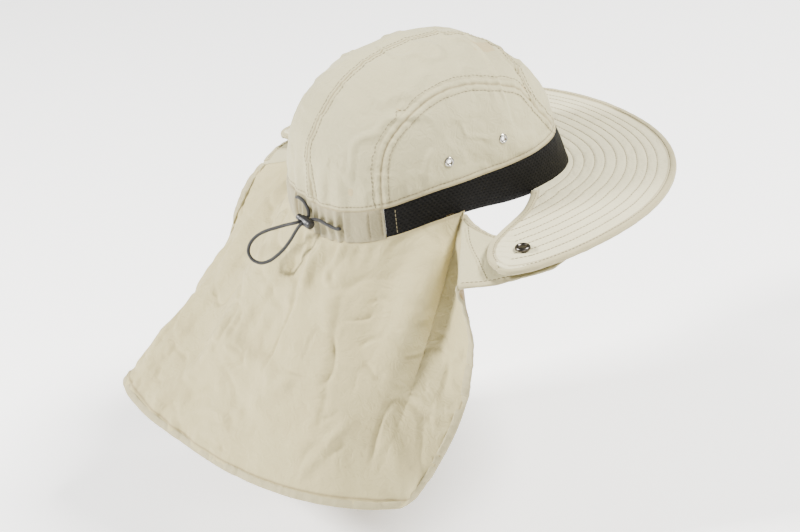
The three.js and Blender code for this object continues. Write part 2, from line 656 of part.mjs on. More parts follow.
function snapBody(side) {
  const seat = snapSeat(side);
  const { capRadius, capHeight, post, flange } = snap;
  const profile = [
    [0, seat.top + capHeight], [capRadius * 0.5, seat.top + capHeight * 0.85], [capRadius * 0.85, seat.top + capHeight * 0.5],
    [capRadius, seat.top + 0.4], [capRadius, seat.top], [post, seat.top], [post, seat.under], [flange, seat.under],
    [flange, seat.under - 0.9], [flange * 0.5, seat.under - 1.3], [0, seat.under - 1.3],
  ];
  return lathe(profile, 12).rotateX(Math.PI / 2).translate(seat.x, seat.y, 0);
}

function boreSolid(place, direction, radius, reach) {
  const geometry = new THREE.CylinderGeometry(radius, radius, reach, 12);
  return solidOf(pointAlong(geometry, place, direction));
}

function snapBore(side) {
  return boreSolid(new THREE.Vector3(-side * snap.x, snap.y, 0), new THREE.Vector3(0, 0, 1), snap.hole, 60);
}

function routeCurve(points) {
  return new THREE.CatmullRomCurve3(points.map((p) => new THREE.Vector3(...p)), false, 'centripetal');
}

function cordBody() {
  const curve = routeCurve(cordRoute);
  const shape = new THREE.Shape();
  const radius = cord.diameter / 2;
  for (let i = 0; i < cord.sides; i += 1) {
    const turn = i / cord.sides * 2 * Math.PI;
    if (i === 0) shape.moveTo(radius, 0);
    else shape.lineTo(radius * Math.cos(turn), radius * Math.sin(turn));
  }
  const steps = Math.round(curve.getLength() / cord.step);
  return new THREE.ExtrudeGeometry(shape, { steps, bevelEnabled: false, extrudePath: curve });
}

// Spring toggle on the cord: barrel, a cross hole that both strands share, and a button at one end
const toggleSeat = new THREE.Vector3(-8.7, 107.2, 13.1);
const toggleAxis = new THREE.Vector3(0.969, 0.147, 0.193).normalize();
const strandAxis = new THREE.Vector3(-0.142, 0.989, -0.041).normalize();

function toggleBody() {
  const half = toggle.length / 2;
  const { radius, plunger } = toggle;
  const profile = [
    [0, -half], [radius * 0.7, -half], [radius, -half + 1.2], [radius, half - 4.6], [radius * 0.86, half - 4],
    [plunger, half - 3.8], [plunger, half - 0.8], [plunger * 0.7, half], [0, half],
  ];
  const barrel = solidOf(pointAlong(lathe(profile, 12), toggleSeat.clone(), toggleAxis));
  return [-1, 0, 1].reduce((body, step) => {
    const place = toggleSeat.clone().addScaledVector(toggleAxis, step * toggle.strandGap / 2);
    return body.subtract(boreSolid(place, strandAxis, toggle.hole, 3 * radius));
  }, barrel);
}

const hat = new THREE.Group();
const cloth = 0xd8d3bf;
const tape = 0xcfc9b4;
const metal = 0xc9c6bf;

function addMesh(name, geometry, colour, roughness, metalness = 0) {
  const material = new THREE.MeshStandardMaterial({ color: colour, roughness, metalness });
  const mesh = new THREE.Mesh(geometry, material);
  mesh.name = name;
  hat.add(mesh);
}

const sides = [{ word: 'right', side: -1 }, { word: 'left', side: 1 }];
const seats = [{ word: 'rear', y: 23, z: 55.5 }, { word: 'front', y: -23.3, z: 58.5 }];

const panels = crownPanels();
for (const { word, side } of sides) {
  for (const seat of seats) {
    const { place, outward } = eyeletSeat(seat.y, seat.z, side);
    const name = `side_panel_${word}`;
    panels[name] = panels[name].subtract(boreSolid(place, outward, eyelet.hole + 1, 20));
    const middle = place.clone().addScaledVector(outward, -crown.wall / 2);
    addMesh(`eyelet_${word}_${seat.word}`, pointAlong(eyeletRing(), middle, outward), metal, 0.3, 1);
  }
}
for (const [name, solid] of Object.entries(panels)) addMesh(name, geometryOf(solid), cloth, 0.85);
addMesh('mesh_band', meshBand(), 0x1b1a19, 0.75);
addMesh('rear_casing', rearCasing(), cloth, 0.85);

let brimSolid = solidOf(brimBody());
for (const { side } of sides) brimSolid = brimSolid.subtract(snapBore(side));
addMesh('brim', geometryOf(brimSolid), cloth, 0.85);
addMesh('brim_binding', brimBinding(), tape, 0.8);
addMesh('neck_flap', flapBody(), cloth, 0.85);
addMesh('flap_binding', flapBinding(), tape, 0.8);
for (const { word, side } of sides) {
  addMesh(`flap_tab_${word}`, geometryOf(solidOf(tabBody(side)).subtract(snapBore(side))), cloth, 0.85);
  addMesh(`ear_binding_${word}`, earBinding(side), tape, 0.8);
  addMesh(`snap_${word}`, snapBody(side), 0x4a4744, 0.25, 1);
}
addMesh('drawcord', cordBody(), 0x1a1a1b, 0.8);
addMesh('cord_toggle', geometryOf(toggleBody()), 0x3a3a3c, 0.45);

export default hat;
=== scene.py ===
import math

import bpy
import numpy as np
from mathutils import Matrix, Vector
from mathutils.bvhtree import BVHTree


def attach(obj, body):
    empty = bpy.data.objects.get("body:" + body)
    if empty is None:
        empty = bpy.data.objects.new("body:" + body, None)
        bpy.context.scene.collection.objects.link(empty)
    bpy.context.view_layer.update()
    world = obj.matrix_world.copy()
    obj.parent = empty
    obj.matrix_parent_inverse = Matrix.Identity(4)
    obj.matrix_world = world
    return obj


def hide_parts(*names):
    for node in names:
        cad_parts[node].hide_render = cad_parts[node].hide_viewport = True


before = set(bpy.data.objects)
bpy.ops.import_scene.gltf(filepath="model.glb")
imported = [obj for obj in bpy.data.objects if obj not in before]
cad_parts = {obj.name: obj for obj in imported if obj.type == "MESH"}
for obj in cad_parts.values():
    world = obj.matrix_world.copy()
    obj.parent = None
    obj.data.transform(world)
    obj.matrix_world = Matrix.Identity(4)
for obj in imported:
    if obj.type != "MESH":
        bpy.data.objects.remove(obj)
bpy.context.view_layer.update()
mm = .001
upright = np.array([0, 0, 1.])
print("frame loaded:", len(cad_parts), "pieces")

# camera: at the wearer's right, behind and above, rolled a little
shot = {"azimuth": 241, "elevation": 27.4, "roll": -6, "distance": 1.5, "focalPixels": 2017.5,
        "originAt": (426, 189), "picture": (800, 532), "sensor": 36}


def aimCamera():
    a, e, r = (math.radians(shot[k]) for k in ("azimuth", "elevation", "roll"))
    back = Vector((math.sin(a) * math.cos(e), -math.cos(a) * math.cos(e), math.sin(e)))
    level = Vector((math.cos(a), math.sin(a), 0))
    above = back.cross(level)
    right = level * math.cos(r) + above * math.sin(r)
    up = above * math.cos(r) - level * math.sin(r)
    (x, y), (width, height) = shot["originAt"], shot["picture"]
    perPixel = shot["distance"] / shot["focalPixels"]
    place = back * shot["distance"] - right * (x - width / 2) * perPixel - up * (height / 2 - y) * perPixel
    data = bpy.data.cameras.new("photoCamera")
    data.sensor_width = shot["sensor"]
    data.lens = shot["focalPixels"] / width * shot["sensor"]
    camera = bpy.data.objects.new("photoCamera", data)
    bpy.context.scene.collection.objects.link(camera)
    camera.matrix_world = Matrix(((right.x, up.x, back.x, place.x), (right.y, up.y, back.y, place.y),
                                  (right.z, up.z, back.z, place.z), (0, 0, 0, 1)))
    bpy.context.scene.camera = camera


aimCamera()
print("camera set")


# materials
def linear(red, green, blue):
    shares = (c / 255 for c in (red, green, blue))
    return tuple(s / 12.92 if s < .0404 else ((s + .055) / 1.055) ** 2.4 for s in shares) + (1,)


def addNode(tree, kind, **settings):
    made = tree.nodes.new(kind)
    made.location = (200 * len(tree.nodes), 0)
    for key, value in settings.items():
        setattr(made, key, value)
    return made


def mathNode(tree, operation, *values):
    made = addNode(tree, "ShaderNodeMath", operation=operation)
    for socket, value in zip(made.inputs, values):
        if isinstance(value, (int, float)):
            socket.default_value = value
        else:
            tree.links.new(value, socket)
    return made.outputs[0]


def newGroup(name, inputs, outputs):
    tree = bpy.data.node_groups.new(name, "ShaderNodeTree")
    for label, kind, value in inputs:
        socket = tree.interface.new_socket(label, in_out="INPUT", socket_type=kind)
        if value is not None:
            socket.default_value = value
    for label in outputs:
        tree.interface.new_socket(label, in_out="OUTPUT", socket_type="NodeSocketFloat")
    return tree, addNode(tree, "NodeGroupInput"), addNode(tree, "NodeGroupOutput")


def splitVector(tree, vector):
    split = addNode(tree, "ShaderNodeSeparateXYZ")
    tree.links.new(vector, split.inputs[0])
    return split.outputs


def makeWeave():  # plain weave: threads over and under, with uneven yarn
    look = {"stretch": (300, 1600, 1), "detail": 2, "shade": .6}
    tree, given, result = newGroup("weave", [
        ("Vector", "NodeSocketVector", None), ("Thread", "NodeSocketFloat", .0005),
        ("Unevenness", "NodeSocketFloat", .5)], ["Height", "Shade"])
    waves = []
    for part in splitVector(tree, given.outputs["Vector"])[:2]:
        turn = mathNode(tree, "MULTIPLY", mathNode(tree, "DIVIDE", part, given.outputs["Thread"]), math.pi)
        waves.append(mathNode(tree, "SINE", turn))
    over = mathNode(tree, "MULTIPLY", *waves)
    stretch = addNode(tree, "ShaderNodeVectorMath", operation="MULTIPLY")
    stretch.inputs[1].default_value = look["stretch"]
    yarn = addNode(tree, "ShaderNodeTexNoise")
    yarn.inputs["Detail"].default_value = look["detail"]
    yarn.inputs["Scale"].default_value = 1
    tree.links.new(given.outputs["Vector"], stretch.inputs[0])
    tree.links.new(stretch.outputs[0], yarn.inputs["Vector"])
    spun = mathNode(tree, "SUBTRACT", yarn.outputs["Fac"], .5)
    uneven = mathNode(tree, "MULTIPLY", spun, given.outputs["Unevenness"])
    height = mathNode(tree, "ADD", mathNode(tree, "MULTIPLY_ADD", over, .5, .5), uneven)
    tree.links.new(height, result.inputs["Height"])
    tree.links.new(mathNode(tree, "MULTIPLY_ADD", uneven, look["shade"], .5), result.inputs["Shade"])
    return tree


def makeCrinkle():  # soft dents and short creases of thin cloth that has been folded and worn
    look = {"layers": ((1, 2, .6), (2.7, 3, 1.2), (.45, 1, 0)), "creaseWidth": .2}  # scale, detail, distortion
    tree, given, result = newGroup("crinkle", [
        ("Vector", "NodeSocketVector", None), ("Size", "NodeSocketFloat", .02),
        ("Creases", "NodeSocketFloat", .5)], ["Height", "Patch"])
    scale = mathNode(tree, "DIVIDE", 1.0, given.outputs["Size"])
    fields = []
    for factor, detail, distortion in look["layers"]:
        field = addNode(tree, "ShaderNodeTexNoise")
        field.inputs["Detail"].default_value = detail
        field.inputs["Distortion"].default_value = distortion
        tree.links.new(given.outputs["Vector"], field.inputs["Vector"])
        tree.links.new(mathNode(tree, "MULTIPLY", scale, factor), field.inputs["Scale"])
        fields.append(field.outputs["Fac"])
    crease = mathNode(tree, "ABSOLUTE", mathNode(tree, "SUBTRACT", fields[1], .5))
    sharp = mathNode(tree, "MULTIPLY", mathNode(tree, "SUBTRACT", look["creaseWidth"], crease),
                     given.outputs["Creases"])
    tree.links.new(mathNode(tree, "ADD", fields[0], sharp), result.inputs["Height"])
    tree.links.new(fields[2], result.inputs["Patch"])
    return tree


weaveGroup, crinkleGroup = makeWeave(), makeCrinkle()


def useGroup(tree, group, vector, **values):
    made = addNode(tree, "ShaderNodeGroup")
    made.node_tree = group
    tree.links.new(vector, made.inputs["Vector"])
    for key, value in values.items():
        made.inputs[key].default_value = value
    return made


def bumpNode(tree, height, strength, distance, before=None):
    bump = addNode(tree, "ShaderNodeBump")
    bump.inputs["Strength"].default_value = strength
    bump.inputs["Distance"].default_value = distance
    tree.links.new(height, bump.inputs["Height"])
    if before:
        tree.links.new(before, bump.inputs["Normal"])
    return bump.outputs[0]


def blendColours(tree, factor, first, second):
    mix = addNode(tree, "ShaderNodeMix", data_type="RGBA")
    for socket, value in ((mix.inputs[0], factor), (mix.inputs[6], first), (mix.inputs[7], second)):
        if isinstance(value, (tuple, float)):
            socket.default_value = value
        else:
            tree.links.new(value, socket)
    return mix.outputs[2]


def tint(tree, base, mask, share, colour):  # moves a colour towards another by a share of a mask
    return blendColours(tree, mathNode(tree, "MULTIPLY", mask, share), base, linear(*colour))


def newMaterial(name, roughness, metallic=0.):
    material = bpy.data.materials.new(name)
    material.use_nodes = True
    tree = material.node_tree
    shader = tree.nodes["Principled BSDF"]
    shader.inputs["Roughness"].default_value = roughness
    shader.inputs["Metallic"].default_value = metallic
    return material, tree, shader, addNode(tree, "ShaderNodeTexCoord").outputs


def makeCloth(name, changes):
    look = {**clothLook, **changes}
    material, tree, shader, coords = newMaterial(name, look["roughness"])
    weave = useGroup(tree, weaveGroup, coords["UV"], Thread=look["thread"], Unevenness=look["unevenness"])
    crinkle = useGroup(tree, crinkleGroup, coords["Object"], Size=look["crinkleSize"], Creases=look["creases"])
    cloth = tint(tree, linear(*look["colour"]), crinkle.outputs["Patch"], look["patchiness"], look["patch"])
    cloth = tint(tree, cloth, weave.outputs["Shade"], look["yarnShade"], look["yarn"])
    seam = addNode(tree, "ShaderNodeAttribute", attribute_name="seam")
    if "innerFace" in look:  # the inner side carries a seam value of -1 and is painted a darker warm brown: painted shade and light through the thin cloth
        cloth = tint(tree, cloth, seam.outputs["Fac"], -1., look["innerFace"])
    # painted shade: the seam mask darkens the cloth towards the groove brown in seam grooves, along stitch rows,
    # beside the tapes and where pieces meet
    if look["seams"]:
        cloth = tint(tree, cloth, seam.outputs["Fac"], look["seams"], look["groove"])
    tree.links.new(cloth, shader.inputs["Base Color"])
    soft = bumpNode(tree, crinkle.outputs["Height"], look["crinkle"], look["crinkleDepth"])
    woven = bumpNode(tree, weave.outputs["Height"], look["weave"], look["weaveDepth"], soft)
    tree.links.new(woven, shader.inputs["Normal"])
    shader.inputs["Sheen Weight"].default_value = look["sheen"]
    shader.inputs["Sheen Roughness"].default_value = .5
    shader.inputs["Specular IOR Level"].default_value = .25
    return material


# groove is the painted shade colour that the seam mask darkens the cloth towards
clothLook = {"colour": (172, 166, 131), "patch": (160, 152, 115), "patchiness": .6, "yarn": (150, 142, 107),
             "yarnShade": .18, "groove": (118, 104, 70), "seams": .8, "thread": .00045, "unevenness": .6,
             "weave": .35, "weaveDepth": .0001, "crinkleSize": .022, "creases": .6, "crinkle": .5,
             "crinkleDepth": .004, "roughness": .74, "sheen": .12}
clothFinish = makeCloth("stoneCloth", {})
# painted light: the flap's copy of the cloth is tinted warmer, for warm light shining through and bouncing inside
# the thin flap
flapLitAndShadedCopy = makeCloth("flapCloth", {"colour": (176, 166, 123), "patch": (165, 152, 108),
                                     # painted shade: the flap's inner side is a darker warm brown, for shade and
                                     # light through the thin cloth
                                     "yarn": (152, 142, 100), "innerFace": (146, 124, 80)})
# painted light: a lighter copy of the cloth for the brim, which faces up into the light
brimLitCopy = makeCloth("brimCloth", {"colour": (196, 190, 158), "patch": (186, 178, 143),
                                     "yarn": (170, 162, 128)})
# painted shade: a darker copy of the cloth for the casing, which faces down in the shade under the crown
casingShadedCopy = makeCloth("shadedCasingCloth", {"colour": (144, 137, 107), "patch": (130, 121, 92),
                                         "yarn": (120, 112, 84)})
# a warmer, darker copy of the cloth for the inner faces: partly their own tone, partly painted warmth of light
# through the cloth
insideWarmCopy = makeCloth("clothInside", {"colour": (172, 158, 118), "patch": (160, 144, 104), "seams": 0})
tapeFinish = makeCloth("edgeTape", {"colour": (163, 155, 121), "patch": (151, 142, 107), "thread": .0006,
                                    "weave": .5, "crinkleSize": .008, "crinkle": .2, "seams": 0,
                                    "roughness": .82})
threadFinish = makeCloth("sewingThread", {"colour": (118, 109, 82), "patch": (100, 92, 68),
                                          "thread": .0003, "crinkle": 0., "seams": 0, "roughness": .7})


def makeSpacerMesh():  # black knit with staggered oval holes
    look = {"pitch": .0033, "row": .0021, "width": .34, "height": .33, "soft": (1.25, .65), "yarn": .0003,
            "thread": (15, 14, 13), "shadow": (7, 7, 6), "hole": (0, 0, 0), "depth": .0005}
    material, tree, shader, coords = newMaterial("spacerMesh", .6)
    x, y, _ = splitVector(tree, coords["UV"])
    row = mathNode(tree, "DIVIDE", y, look["row"])
    odd = mathNode(tree, "FLOORED_MODULO", mathNode(tree, "FLOOR", row), 2.0)
    column = mathNode(tree, "MULTIPLY_ADD", odd, .5, mathNode(tree, "DIVIDE", x, look["pitch"]))
    squares = []
    for place, size in ((column, look["width"]), (row, look["height"])):
        off = mathNode(tree, "DIVIDE", mathNode(tree, "SUBTRACT", mathNode(tree, "FRACT", place), .5), size)
        squares.append(mathNode(tree, "MULTIPLY", off, off))
    hole = addNode(tree, "ShaderNodeMapRange", interpolation_type="SMOOTHSTEP")
    hole.inputs["From Min"].default_value, hole.inputs["From Max"].default_value = look["soft"]
    tree.links.new(mathNode(tree, "ADD", *squares), hole.inputs["Value"])
    weave = useGroup(tree, weaveGroup, coords["UV"], Thread=look["yarn"], Unevenness=.8)
    dark = tint(tree, linear(*look["thread"]), weave.outputs["Shade"], .5, look["shadow"])
    # the holes are pure black: partly the knit's own black, partly painted shade inside them
    tree.links.new(blendColours(tree, hole.outputs[0], dark, linear(*look["hole"])), shader.inputs["Base Color"])
    deep = bumpNode(tree, mathNode(tree, "SUBTRACT", 1.0, hole.outputs[0]), 1., look["depth"])
    knit = bumpNode(tree, weave.outputs["Height"], .5, clothLook["weaveDepth"], deep)
    tree.links.new(knit, shader.inputs["Normal"])
    shader.inputs["Specular IOR Level"].default_value = .1
    return material


def makeMetal(name, colour, roughness, smudge):
    material, tree, shader, coords = newMaterial(name, roughness, 1.)
    crinkle = useGroup(tree, crinkleGroup, coords["Object"], Size=.004, Creases=.1)
    patch = crinkle.outputs["Patch"]
    tree.links.new(tint(tree, linear(*colour), patch, .15, smudge), shader.inputs["Base Color"])
    tree.links.new(mathNode(tree, "MULTIPLY_ADD", patch, .1, roughness - .05), shader.inputs["Roughness"])
    tree.links.new(bumpNode(tree, crinkle.outputs["Height"], .01, .0002), shader.inputs["Normal"])
    return material


def makeBraid():  # braided sleeve of the elastic cord, its strands crossing both ways
    look = {"strands": 8, "lay": .0042, "colour": (9, 9, 10), "gap": (2, 2, 2), "depth": .0003}
    material, tree, shader, coords = newMaterial("cordBraid", .62)
    x, y, _ = splitVector(tree, coords["UV"])
    turn = mathNode(tree, "MULTIPLY", y, look["strands"] * math.pi)
    pace = mathNode(tree, "MULTIPLY", mathNode(tree, "DIVIDE", x, look["lay"]), 4 * math.pi)
    waves = [mathNode(tree, "ABSOLUTE", mathNode(tree, "SINE", mathNode(tree, way, turn, pace)))
             for way in ("ADD", "SUBTRACT")]
    height = mathNode(tree, "MAXIMUM", *waves)
    # painted shade: the gaps between the strands are darker
    braid = blendColours(tree, height, linear(*look["gap"]), linear(*look["colour"]))
    tree.links.new(braid, shader.inputs["Base Color"])
    tree.links.new(bumpNode(tree, height, .8, look["depth"]), shader.inputs["Normal"])
    shader.inputs["Sheen Weight"].default_value = .1
    return material


def makePlastic():  # satin moulded plastic with a fine grain
    look = {"colour": (24, 24, 26), "worn": (35, 35, 38), "grain": .0012, "depth": .0002}
    material, tree, shader, coords = newMaterial("togglePlastic", .42)
    crinkle = useGroup(tree, crinkleGroup, coords["Object"], Size=look["grain"], Creases=.6)
    plastic = blendColours(tree, crinkle.outputs["Patch"], linear(*look["colour"]), linear(*look["worn"]))
    tree.links.new(plastic, shader.inputs["Base Color"])
    tree.links.new(bumpNode(tree, crinkle.outputs["Height"], .15, look["depth"]), shader.inputs["Normal"])
    return material


meshFinish, braidFinish, plasticFinish = makeSpacerMesh(), makeBraid(), makePlastic()
nickelFinish = makeMetal("brightNickel", (186, 183, 176), .25, (160, 156, 148))
darkNickelFinish = makeMetal("darkNickel", (84, 80, 76), .3, (70, 66, 62))
print("materials made")


# tables of the hat's shape, in millimetres
rim = {"halfWidth": 80, "halfLength": 99.5, "squareness": 2.5}
crown = {"height": 120, "base": 24, "shoulder": 2.25, "roundness": 2.1}
bandEdges = np.array([  # angle from the middle of the back, lower edge, upper edge, flare
    (0, 2, 26, 0), (20, 2.5, 26.5, 0), (35, 5, 28.5, 0), (50, 9, 32.5, 0), (66, 14.5, 38, 0),
    (85, 16, 39.5, 0), (103, 12.5, 39.8, .5), (126, 10, 39.5, 3), (150, 8, 38, 8), (180, 7, 37, 9)], float)
flapRibs = np.array([  # place, hem x y z, how far the upper third stands off (x y z), and the lower third (x y)
    (-1, -115, 103, -176, -12, -34, 3, -4, -38), (-.85, -112, 121, -174, -9, -18, 0, -4, -26),
    (-.7, -104, 139, -171, -6, -2, 0, -5, -12), (-.5, -80, 164, -167, 0, 2, 0, -2, -3),
    (-.25, -42, 185, -165, 0, 4, 0, 0, 0), (0, 0, 196, -165, 0, 5, 0, 0, 2), (.25, 46, 207, -159, 2, 6, 0, 2, 4),
    (.5, 91, 217, -150, 8, 6, 0, 6, 4), (.7, 125, 214, -142, 12, 6, 3, 8, 2),
    (.85, 144, 184, -146, 8, 12, 14, 6, -10), (1, 143, 140, -156, 5, 16, 26, 6, -27)], float)
tabRows = np.array([  # ear edge x y z, outer edge x y z, from the seam forward
    (-80.5, 15.5, 13.5, -140, 63, -4.5), (-92, 16.5, 10.5, -153, 44, -3.5), (-104, 12.5, 6, -159.5, 22, -2.5),
    (-114, 2, 2.4, -163, 2, -2), (-123, -13, 1.5, -158, -17, -1)], float)


def along(rows, place, column):  # smooth value of one column between the rows of a table
    place = np.asarray(place, float)
    keys, values = rows[:, 0], rows[:, column]
    last = len(rows) - 2
    i = np.clip(np.searchsorted(keys, place, side="left") - 1, 0, last)
    before, after = np.maximum(i - 1, 0), np.minimum(i + 2, last + 1)
    span = keys[i + 1] - keys[i]
    slopeA = (values[i + 1] - values[before]) / (keys[i + 1] - keys[before]) * span
    slopeB = (values[after] - values[i]) / (keys[after] - keys[i]) * span
    t = np.clip((place - keys[i]) / span, 0, 1)
    return (values[i] + (values[i + 1] - values[i]) * t * t * (3 - 2 * t)
            + slopeA * t * (1 - t) ** 2 - slopeB * t * t * (1 - t))


def bandEdge(angle, column):
    return along(bandEdges, np.abs((np.asarray(angle, float) + 180) % 360 - 180), column)


def headPoint(angle, height, inset=0.):
    angle, height = np.broadcast_arrays(np.asarray(angle, float), np.asarray(height, float))
    s, c = np.sin(np.radians(angle)), np.cos(np.radians(angle))
    n = rim["squareness"]
    reach = (np.abs(c) ** n + np.abs(s) ** n) ** (-1 / n)
    rise = np.clip((height - crown["base"]) / (crown["height"] - inset - crown["base"]), 0, 1)
    shrink = (1 - rise ** crown["shoulder"]) ** (1 / crown["roundness"])
    low, top = bandEdge(angle, 1), bandEdge(angle, 2)
    flare = bandEdge(angle, 3) * np.maximum((top - height) / (top - low), 0)
    return np.stack([-((rim["halfWidth"] - inset) * shrink + flare) * reach * s,
                     ((rim["halfLength"] - inset) * shrink + flare) * reach * c, height + 0 * s], -1)


# place on the flap where it leaves the band, and how it runs on under the tab's rear edge
flapCorner = {"place": .7, "angle": 80., "drop": .8, "inset": .2, "end": (0, 1.6, -1.6)}


def flapTop(place):  # along the band's lower edge at the back, then along the seams of the tabs
    place = np.asarray(place, float)
    corner, angle, drop, inset = (flapCorner[key] for key in ("place", "angle", "drop", "inset"))
    share = np.abs(place) / corner
    turn = np.clip(place, -corner, corner) / corner * angle
    inner = headPoint(-turn, bandEdge(turn, 1) - drop, inset)
    turned = headPoint(angle, bandEdge(angle, 1) - drop, inset)
    t = np.clip((share - 1) / (1 / corner - 1), 0, 1)[..., None]
    outer = turned + (tabRows[0, 3:] + flapCorner["end"] - turned) * t
    outer = outer * np.stack([-np.sign(place), np.ones_like(place), np.ones_like(place)], -1)
    return np.where((share <= 1)[..., None], inner, outer)


def flapPlain(place, share):
    place, share = np.broadcast_arrays(np.asarray(place, float), np.asarray(share, float))
    top = flapTop(place)
    rib = [along(flapRibs, place, k) for k in range(1, 9)]
    hem = np.stack(rib[:3], -1)
    upper = top + (hem - top) / 3 + np.stack(rib[3:6], -1)
    lower = top + (hem - top) * 2 / 3 + np.stack([rib[6], rib[7], 0 * rib[6]], -1)
    t = share[..., None]
    return top * (1 - t) ** 3 + 3 * upper * t * (1 - t) ** 2 + 3 * lower * t * t * (1 - t) + hem * t ** 3


def ease(start, end, value):
    t = np.clip((value - start) / (end - start), 0, 1)
    return t * t * (3 - 2 * t)


def bell(distance, width):
    return np.exp(-(distance / width) ** 2)


def smoothNoise(points, size, seed):  # soft random field from -1 to 1
    place = np.asarray(points, float) / size
    cell = np.floor(place).astype(np.int64)
    part = place - cell
    part = part * part * (3 - 2 * part)
    total = 0.
    for corner in range(8):
        offset = np.array([(corner >> k) & 1 for k in range(3)])
        key = ((cell + offset) * np.array([73856093, 19349663, 83492791])).sum(-1) + seed * 26544357
        key = ((key ^ (key >> 13)) * 12741261) & 0x7fffffff
        key = ((key ^ (key >> 15)) * 73244475) & 0x7fffffff
        total = total + np.prod(np.where(offset == 1, part, 1 - part), -1) * ((key >> 8 & 0xffff) / 32767.5 - 1)
    return total


def unit(vectors):
    return vectors / np.maximum(np.linalg.norm(vectors, axis=-1, keepdims=True), 1e-9)


def gridNormals(grid, wraps=False):
    if wraps:
        across = np.roll(grid, -1, 0) - np.roll(grid, 1, 0)
    else:
        across = np.gradient(grid, axis=0)
    return unit(np.cross(across, np.gradient(grid, axis=1)))


def segmentDistance(points, line):  # distance to a polyline
    best = np.full(points.shape[:-1], 1e9)
    for a, b in zip(line[:-1], line[1:]):
        t = np.clip(((points - a) @ (b - a)) / max((b - a) @ (b - a), 1e-9), 0, 1)
        best = np.minimum(best, np.linalg.norm(points - a - t[..., None] * (b - a), axis=-1))
    return best


def lengthsAlong(line):
    return np.concatenate([[0], np.cumsum(np.linalg.norm(np.diff(line, axis=0), axis=1))])


def sampleAt(want, lengths, values):
    return np.stack([np.interp(want, lengths, column) for column in values.T], -1)


def spread(line, count):  # count + 1 points evenly along a polyline
    line = np.asarray(line, float)
    lengths = lengthsAlong(line)
    return sampleAt(np.linspace(0, lengths[-1], count + 1), lengths, line)


def edgeFrame(edge, inward):  # square directions along an edge: into the cloth, and off its face
    ahead = unit(np.gradient(edge, axis=0))
    flat = unit(inward - ahead * (inward * ahead).sum(-1, keepdims=True))
    return flat, unit(np.cross(ahead, flat))


# making and registering a piece
pieces = {}


def addPiece(name, points, faces, finish, slotName, nodes=(), uv=None, seam=None, innerFace=False):
    mesh = bpy.data.meshes.new(name)
    mesh.from_pydata((np.asarray(points) * mm).tolist(), [], [list(map(int, face)) for face in faces])
    mesh.update()
    mesh.calc_loop_triangles()
    triangles = np.zeros(len(mesh.loop_triangles) * 3, np.int32)
    mesh.loop_triangles.foreach_get("vertices", triangles)
    a, b, c = np.moveaxis(np.asarray(points, float)[triangles.reshape(-1, 3)], 1, 0)
    if (np.cross(a, b) * c).sum() < 0 and not innerFace:  # its faces look inwards
        mesh.flip_normals()
    corners = np.zeros(len(mesh.loops), np.int32)
    mesh.loops.foreach_get("vertex_index", corners)
    flat = np.asarray(points)[:, :2] if uv is None else np.asarray(uv)
    mesh.uv_layers.new(name="UVMap").data.foreach_set("uv", (flat * mm)[corners].ravel())
    # the seam attribute is the mask for painted shade in the cloth finishes
    if seam is not None:
        shade = mesh.attributes.new("seam", "FLOAT", "POINT")
        shade.data.foreach_set("value", np.asarray(seam, np.float32).ravel())
    mesh.shade_smooth()
    piece = bpy.data.objects.new(name, mesh)
    bpy.context.scene.collection.objects.link(piece)
    mesh.materials.append(finish)
    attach(piece, "root")
    if nodes:
        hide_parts(*nodes)
    pieces[name] = piece
    return piece


def gridFaces(rows, columns, start=0, wraps=False, flip=False, keep=None):
    i, j = np.meshgrid(np.arange(rows if wraps else rows - 1), np.arange(columns - 1), indexing="ij")
    ahead = (i + 1) % rows
    near, far = start + i * columns + j, start + ahead * columns + j
    quads = np.stack([near, far, far + 1, near + 1], -1)
    if keep is not None:
        quads = quads[keep[i, j]]
    quads = quads.reshape(-1, 4)
    return quads[:, ::-1] if flip else quads


def addSheet(name, face, back, uv, finish, slotName, nodes, seam=None, inner=None):  # closed between two grids
    rows, columns = face.shape[:2]
    count = rows * columns
    index = np.arange(count).reshape(rows, columns)
    faces = [gridFaces(rows, columns), gridFaces(rows, columns, count, flip=True)]
    for line in (index[:, 0][::-1], index[:, -1], index[0], index[-1][::-1]):
        faces.append(np.stack([line[:-1], line[:-1] + count, line[1:] + count, line[1:]], -1)[:, ::-1])
    if seam is not None:
        # the back can carry its own seam value; the flap's -1 paints its inner side with painted shade
        seam = np.concatenate([seam.ravel(), (seam if inner is None else inner + 0 * seam).ravel()])
    points = np.concatenate([face.reshape(-1, 3), back.reshape(-1, 3)])
    return addPiece(name, points, np.concatenate(faces), finish, slotName, nodes,
                    np.concatenate([uv.reshape(-1, 2)] * 2), seam)


def arcLengthUv(grid):  # lengths along both directions of a grid, in millimetres
    steps = [np.linalg.norm(np.diff(grid, axis=axis), axis=2) for axis in (0, 1)]
    run = np.concatenate([np.zeros((1, grid.shape[1])), np.cumsum(steps[0], 0)])
    down = np.concatenate([np.zeros((grid.shape[0], 1)), np.cumsum(steps[1], 1)], 1)
    return np.stack([run[:, [grid.shape[1] // 2]] + 0 * down, down], -1)


def circle(side, other, sides):  # unit rings in the plane of two directions
    turn = np.linspace(0, 2 * np.pi, sides, endpoint=False)[:, None]
    return np.cos(turn) * side[..., None, :] + np.sin(turn) * other[..., None, :]


def sweep(line, sides, radius):  # rings of a tube along a polyline, with frames carried along it
    ahead = unit(np.gradient(line, axis=0))
    side = np.zeros_like(line)
    side[0] = unit(np.cross(ahead[0], (0, 0, 1.)))
    for i in range(1, len(line)):
        side[i] = unit(side[i - 1] - ahead[i] * (side[i - 1] @ ahead[i]))
    return line[:, None] + circle(side, np.cross(ahead, side), sides) * radius


